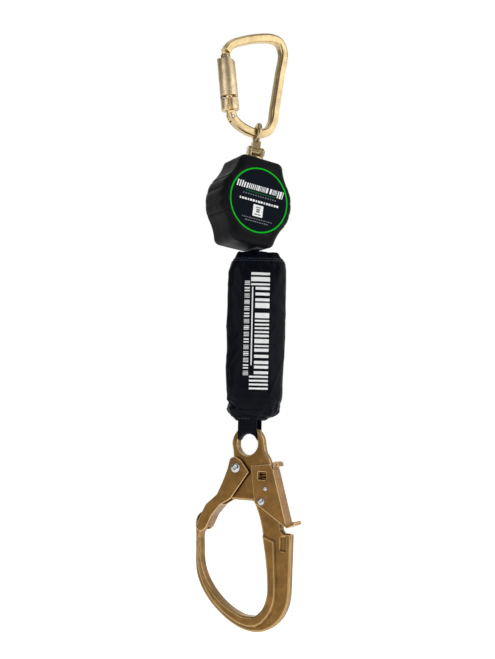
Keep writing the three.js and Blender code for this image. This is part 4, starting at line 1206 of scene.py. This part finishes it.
# (share of the length from the top, share of the half width, share of the half depth)
PACK_FORM = [
    (0.0, 0.70, 0.62), (0.03, 0.80, 0.78), (0.065, 0.95, 0.92), (0.11, 1.0, 0.98), (0.2, 1.0, 1.0),
    (0.5, 0.985, 1.0), (0.80, 1.0, 0.98), (0.86, 0.98, 0.93), (0.90, 0.94, 0.85), (0.935, 0.88, 0.77),
    (0.96, 0.76, 0.65), (0.98, 0.58, 0.51), (1.0, 0.46, 0.42),
]


def pack_skin(around, along, shrink):
    """Points of the pack's tube in its own frame: a soft flat oval, gathered at both ends."""
    length = PACK_HIGH.z - PACK_LOW.z - HOOK_SWING_ROOM
    places = [row[0] for row in PACK_FORM]
    loops = []
    for i in range(along):
        t = i / (along - 1)
        wide = PACK_HALF_WIDTH * np.interp(t, places, [row[1] for row in PACK_FORM]) - shrink
        deep = PACK_HALF_DEPTH * np.interp(t, places, [row[2] for row in PACK_FORM]) - shrink
        gather = max(0.0, (t - 0.86) / 0.14) ** 1.3
        tuck = max(0.0, (0.05 - t) / 0.05)
        aside = (5.1 - 1.6 * t) * MM * (1 - gather)
        loop = []
        for k in range(around):
            angle = 2 * math.pi * k / around
            c, s = math.cos(angle), math.sin(angle)
            x = wide * math.copysign(abs(c) ** 0.55, c)
            y = deep * math.copysign(abs(s) ** 0.75, s)
            pleat = 1 + 0.11 * gather * math.sin(7 * angle + 0.6) + 0.05 * gather * math.sin(13 * angle + 2.0)
            pleat += 0.03 * tuck * math.sin(9 * angle)
            loop.append(Vector((x * pleat + aside, y * pleat, PACK_HIGH.z - t * length)))
        loops.append(loop)
    return loops


def crease(point):
    """How far the cover's cloth stands out at a point, in metres: slow lumps, drag folds and gathers."""
    length = PACK_HIGH.z - PACK_LOW.z
    t = (PACK_HIGH.z - point.z) / length
    ends = max(0.0, 1 - t / 0.16) + max(0.0, (t - 0.74) / 0.26) * 1.2
    lumps = noise.fractal(Vector((point.x * 26, point.y * 26, point.z * 17)), 0.9, 2.1, 3) * 1.3
    slant = point.z * 0.55 + point.x * (1 if point.z > -0.33 else -1)
    drag = 1 - abs(noise.noise(Vector((slant * 62, point.y * 18, point.z * 16 + 4.0))))
    pull = 1 - abs(noise.noise(Vector((point.x * 70, point.y * 70, point.z * 13 + 9.0))))
    off_fold = point.x - 0.019 + (point.z + 0.36) * 0.05
    long_fold = math.exp(-(off_fold / 0.0035) ** 2) * max(0.0, min(1.0, (t - 0.35) * 4))
    return (lumps + (drag ** 4 - 0.45) * (0.7 + 1.2 * ends) + (pull ** 4 - 0.45) * 1.1 * ends
            + 0.6 * long_fold) * MM


def simulate(made, size):
    """Inflates the cover a little as cloth, with its two gathered ends held."""
    rest = [v.co.copy() for v in made.data.vertices]
    length = PACK_HIGH.z - PACK_LOW.z
    held = made.vertex_groups.new(name="held")
    for i, point in enumerate(rest):
        t = (PACK_HIGH.z - point.z) / length
        hold = max(0.0, min(1.0, max(1 - t / 0.03, (t - 0.965) / 0.03)))
        held.add([i], hold, "REPLACE")
    cloth = made.modifiers.new("cloth", "CLOTH")
    settings = cloth.settings
    settings.quality = 5
    settings.mass = 0.25
    settings.tension_stiffness = settings.compression_stiffness = 12
    settings.bending_stiffness = 0.25
    settings.shrink_min = -0.02
    settings.use_pressure = True
    settings.uniform_pressure_force = 2.2
    settings.vertex_group_mass = "held"
    settings.effector_weights.gravity = 0.0
    cloth.collision_settings.use_collision = False
    scene = bpy.context.scene
    for frame_number in range(1, size.cloth_frames + 1):
        scene.frame_set(frame_number)
    graph = bpy.context.evaluated_depsgraph_get()
    moved = [v.co.copy() for v in made.evaluated_get(graph).data.vertices]
    made.modifiers.clear()
    scene.frame_set(1)
    for vertex, start, end in zip(made.data.vertices, rest, moved):
        step = end - start
        if step.length > size.cloth_travel:
            step *= size.cloth_travel / step.length
        vertex.co = start + step
    made.vertex_groups.clear()


class LIFELINE_OT_pack(bpy.types.Operator):
    """Shock pack's nylon cover as simulated cloth"""

    bl_idname = "lifeline.pack"
    bl_label = "Shock pack"

    def execute(self, context):
        size = context.scene.lifeline_sizes
        cover = link("pack_cover", rings("pack_cover", pack_skin(96, 120, 0.4 * MM)))
        simulate(cover, size)
        finer = cover.modifiers.new("finer", "SUBSURF")
        finer.levels = finer.render_levels = 1
        plain(cover)
        mesh = cover.data
        normals = [v.normal.copy() for v in mesh.vertices]
        for vertex, normal in zip(mesh.vertices, normals):
            vertex.co += normal * crease(vertex.co)
        mesh.transform(PACK)
        mesh.shade_smooth()
        paint(mesh, "cloth")
        mark_edges(cover, 2)
        piece(cover, "lifeline", "pack_fabric", "absorber_cover")
        return {"FINISHED"}


def on_cover(tree, x, z, lift):
    """The point of the cover's front at x, z of the pack's frame, lifted off the cloth."""
    direction = PACK.to_3x3() @ Vector((0, 1, 0))
    start = PACK @ Vector((x, -0.08, z))
    hit, normal, _, _ = tree.ray_cast(start, direction)
    if hit is None:
        raise RuntimeError("the pack's print misses the cover")
    return hit - direction * lift


class LIFELINE_OT_pack_print(bpy.types.Operator):
    """Generic white blocks, line and dashes on the cover"""

    bl_idname = "lifeline.pack_print"
    bl_label = "Pack print"

    def execute(self, context):
        cover = bpy.data.objects["pack_cover"]
        tree = BVHTree.FromObject(cover, context.evaluated_depsgraph_get())
        top = PACK_HIGH.z / MM
        bars = []
        z = top - 26
        for i, length in enumerate((15.0, 16.5, 17.5, 15.0, 14.0, 17.5, 9.5, 15.5)):
            low = -2.0 if i in (0, 7) else 3.3
            bars += [(a, b, z - far, z - near) for a, b, near, far in strokes(i + 3, low, 19.6, 0, length)]
            z -= length + 2.0
        line = [(-0.7, 0.7, top - 133, top - 43)]
        dashes = []
        for i in range(15):
            start = top - 36 - 7.4 * i
            dashes += [(a, b, start - far, start - near)
                       for a, b, near, far in strokes(i, -9.2, -3.2, 0, 4.8)]
        points, faces = [], []
        for x0, x1, z0, z1 in bars + line + dashes:
            across = max(1, round((x1 - x0) / 1.1))
            down = max(1, round((z1 - z0) / 1.2))
            start = len(points)
            for lift in (0.16, -0.25):
                for j in range(down + 1):
                    for i in range(across + 1):
                        x = (x0 + (x1 - x0) * i / across) * MM
                        points.append(on_cover(tree, x, (z0 + (z1 - z0) * j / down) * MM, lift * MM))
            row, layer = across + 1, (across + 1) * (down + 1)
            for j in range(down):
                for i in range(across):
                    a = start + j * row + i
                    faces.append((a, a + 1, a + row + 1, a + row))
                    faces.append(tuple(layer + v for v in (a + row, a + row + 1, a + 1, a)))
            rim = [start + i for i in range(row)]
            rim += [start + j * row + across for j in range(1, down + 1)]
            rim += [start + down * row + i for i in range(across - 1, -1, -1)]
            rim += [start + j * row for j in range(down - 1, 0, -1)]
            faces += [(b, a, a + layer, b + layer) for a, b in zip(rim, rim[1:] + rim[:1])]
        made = link("pack_print", mesh_of("pack_print", points, faces), "white")
        piece(smooth(made, 60), "lifeline", "pack_fabric")
        return {"FINISHED"}


# ---------------------------------------------------------------- webbing
def strap(name, path, width, thickness, across, sag=None):
    """A flat strap along a path: across is its side direction, and sag moves it by share of width."""
    loops = []
    for i, point in enumerate(path):
        along = (path[min(i + 1, len(path) - 1)] - path[max(i - 1, 0)]).normalized()
        out = along.cross(across).normalized()
        loop = []
        steps = 16
        for face in (-1, 1):
            for k in range(steps + 1):
                share = (k / steps * 2 - 1) * -face
                shift = Vector() if sag is None else sag(i, share)
                edge = 1 - 0.35 * abs(share) ** 8
                loop.append(point + across * share * width / 2 + out * face * thickness / 2 * edge + shift)
        loops.append(loop)
    return rings(name, loops)


class LIFELINE_OT_webbing(bpy.types.Operator):
    """Lifeline webbing and the sewn loop round the hook's eye"""

    bl_idname = "lifeline.webbing"
    bl_label = "Webbing"

    def execute(self, context):
        size = context.scene.lifeline_sizes
        low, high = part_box("lifeline_web")
        path = [Vector((0, WEB_OFFSET, z)) for z in np.linspace(high.z + 3 * MM, low.z, 24)]
        web = link("lifeline_strap", strap("lifeline_strap", path, size.web_width, size.web_thickness,
                                           Vector((0, 1, 0))), "web")
        smooth(web, 50)
        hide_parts("lifeline_web")
        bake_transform(web)
        eye_in, eye_out = 13.0 * MM, 20.5 * MM
        half_plate = 4.75 * MM + 0.3 * MM + size.web_thickness / 2
        wide = 24.0 * MM
        points = []
        top = eye_out + 14 * MM
        for i in range(18):
            points.append(Vector((0, -half_plate, top - (top - eye_in - 1.5 * MM) * i / 17)))
        turn_top = points[-1].z
        for i in range(1, 14):
            angle = math.pi * i / 14
            low_z = turn_top - half_plate * 0.44 * math.sin(angle)
            points.append(Vector((0, -half_plate * math.cos(angle), low_z)))
        points += [Vector((0, half_plate, p.z)) for p in points[17::-1]]
        count = len(points)

        def sag(i, share):
            x = share * wide / 2
            inside = min(i, count - 1 - i) / 17
            drop = eye_in - math.sqrt(eye_in ** 2 - x ** 2)
            return Vector((0, 0, -drop * min(1.0, inside) ** 2))

        across = Vector((1, 0, 0))
        folded = strap("eye_strap", points, wide, size.web_thickness, across, sag)
        loop = link("eye_strap", folded, "web")
        loop.data.transform(HOOK)
        piece(smooth(loop, 50), "lifeline", "webbing", "hook_loop")
        return {"FINISHED"}


class LIFELINE_OT_stitching(bpy.types.Operator):
    """Lock stitches round the cover's hems"""

    bl_idname = "lifeline.stitching"
    bl_label = "Stitching"

    def execute(self, context):
        size = context.scene.lifeline_sizes
        cover = bpy.data.objects["pack_cover"]
        tree = BVHTree.FromObject(cover, context.evaluated_depsgraph_get())
        points, edges = [], []
        hems = [(PACK_HIGH.z - 9 * MM, 150), (PACK_HIGH.z - 11.5 * MM, 150), (PACK_LOW.z + 6 * MM, 90)]
        for z, count in hems:
            start = len(points)
            for k in range(count):
                angle = 2 * math.pi * k / count
                out = PACK.to_3x3() @ Vector((math.cos(angle), math.sin(angle), 0))
                centre = PACK @ Vector((0, 0, z))
                hit, normal, _, _ = tree.ray_cast(centre + out * 0.09, -out)
                if hit is not None:
                    points.append(hit + out * size.thread * 0.35)
            edges += [(i, i + 1) for i in range(start, len(points) - 1)] + [(len(points) - 1, start)]
        mesh = bpy.data.meshes.new("hem_lines")
        mesh.from_pydata(points, edges, [])
        made = grown("hem_stitches", mesh, stitch_tree(finish_of("thread")),
                     {"Spacing": size.stitch * 1.35, "Length": size.stitch, "Radius": size.thread})
        piece(smooth(made, 60), "lifeline", "pack_fabric")
        return {"FINISHED"}


# ---------------------------------------------------------------- hook
class LIFELINE_OT_hook(bpy.types.Operator):
    """Forged hook body, its pressed gate and its lock lever"""

    bl_idname = "lifeline.hook"
    bl_label = "Rebar hook"

    def execute(self, context):
        body = forged(node_copy("hook_body", "hook_forging"), 0.72, 5)
        paint(body.data, "forging")
        piece(body, "hook", "hook_steel", "hook_body")
        for node, name in (("hook_gate", "gate_pressing"), ("hook_lock", "lock_pressing")):
            made = forged(node_copy(node, name), 0.42, 3)
            paint(made.data, "sheet")
            piece(made, node, "hook_steel", node)
        piece(refined("lock_spring", "lock_leaf", "bronze", 0.15), "hook", "bronze", "lock_spring")
        return {"FINISHED"}


class LIFELINE_OT_rivets(bpy.types.Operator):
    """Domed, dimpled rivets of the gate and the lock"""

    bl_idname = "lifeline.rivets"
    bl_label = "Rivets"

    def execute(self, context):
        tree = rivet_tree(finish_of("zinc"))
        for node, name, body, shank in (
            ("gate_rivet", "gate_rivet_pin", "hook", 3.5),
            ("lock_rivet", "lock_rivet_pin", "hook", 2.7),
            ("lock_stop_rivet", "lock_stop_pin", "hook_lock", 1.5),
        ):
            corners = [HOOK.inverted() @ v.co for v in frame["nodes"][node].data.vertices]
            low = Vector([min(c[i] for c in corners) for i in range(3)])
            high = Vector([max(c[i] for c in corners) for i in range(3)])
            centre = HOOK @ ((low + high) / 2)
            radius = (high.x - low.x) / 2
            dome = radius * 0.4
            grip = (high.y - low.y) - 2 * dome
            mesh = bpy.data.meshes.new(name)
            mesh.from_pydata([centre], [], [])
            line = mesh.attributes.new("line", "FLOAT_VECTOR", "POINT")
            line.data[0].vector = HOOK.to_3x3() @ Vector((0, 1, 0))
            made = grown(name, mesh, tree, {"Head radius": radius, "Dome": dome, "Shank radius": shank * MM,
                                            "Grip": grip})
            piece(smooth(made), body, "zinc_steel", node)
        return {"FINISHED"}


# ---------------------------------------------------------------- panel and running order
OPERATORS = (
    LIFELINE_OT_stage, LIFELINE_OT_carabiner, LIFELINE_OT_lock_sleeve, LIFELINE_OT_swivel,
    LIFELINE_OT_housing, LIFELINE_OT_label, LIFELINE_OT_mechanism, LIFELINE_OT_pack,
    LIFELINE_OT_pack_print, LIFELINE_OT_webbing, LIFELINE_OT_stitching, LIFELINE_OT_hook,
    LIFELINE_OT_rivets,
)


class LIFELINE_PT_panel(bpy.types.Panel):
    """Lists the pieces and their settings"""

    bl_idname = "LIFELINE_PT_panel"
    bl_label = "Self retracting lifeline"
    bl_space_type = "VIEW_3D"
    bl_region_type = "UI"
    bl_category = "Lifeline"

    def draw(self, context):
        for operator in OPERATORS:
            self.layout.operator(operator.bl_idname)
        for group in (context.scene.lifeline_sizes, context.scene.lifeline_finishes):
            for name in group.__annotations__:
                self.layout.prop(group, name)


CLASSES = (LifelineSizes, LifelineFinishes, *OPERATORS, LIFELINE_PT_panel)


def register():
    for made in CLASSES:
        bpy.utils.register_class(made)
    bpy.types.Scene.lifeline_sizes = PointerProperty(type=LifelineSizes)
    bpy.types.Scene.lifeline_finishes = PointerProperty(type=LifelineFinishes)


def unregister():
    del bpy.types.Scene.lifeline_finishes
    del bpy.types.Scene.lifeline_sizes
    for made in reversed(CLASSES):
        bpy.utils.unregister_class(made)


def main():
    register()
    for operator in OPERATORS:
        group, name = operator.bl_idname.split(".")
        getattr(getattr(bpy.ops, group), name)()


if __name__ == "__main__":
    main()
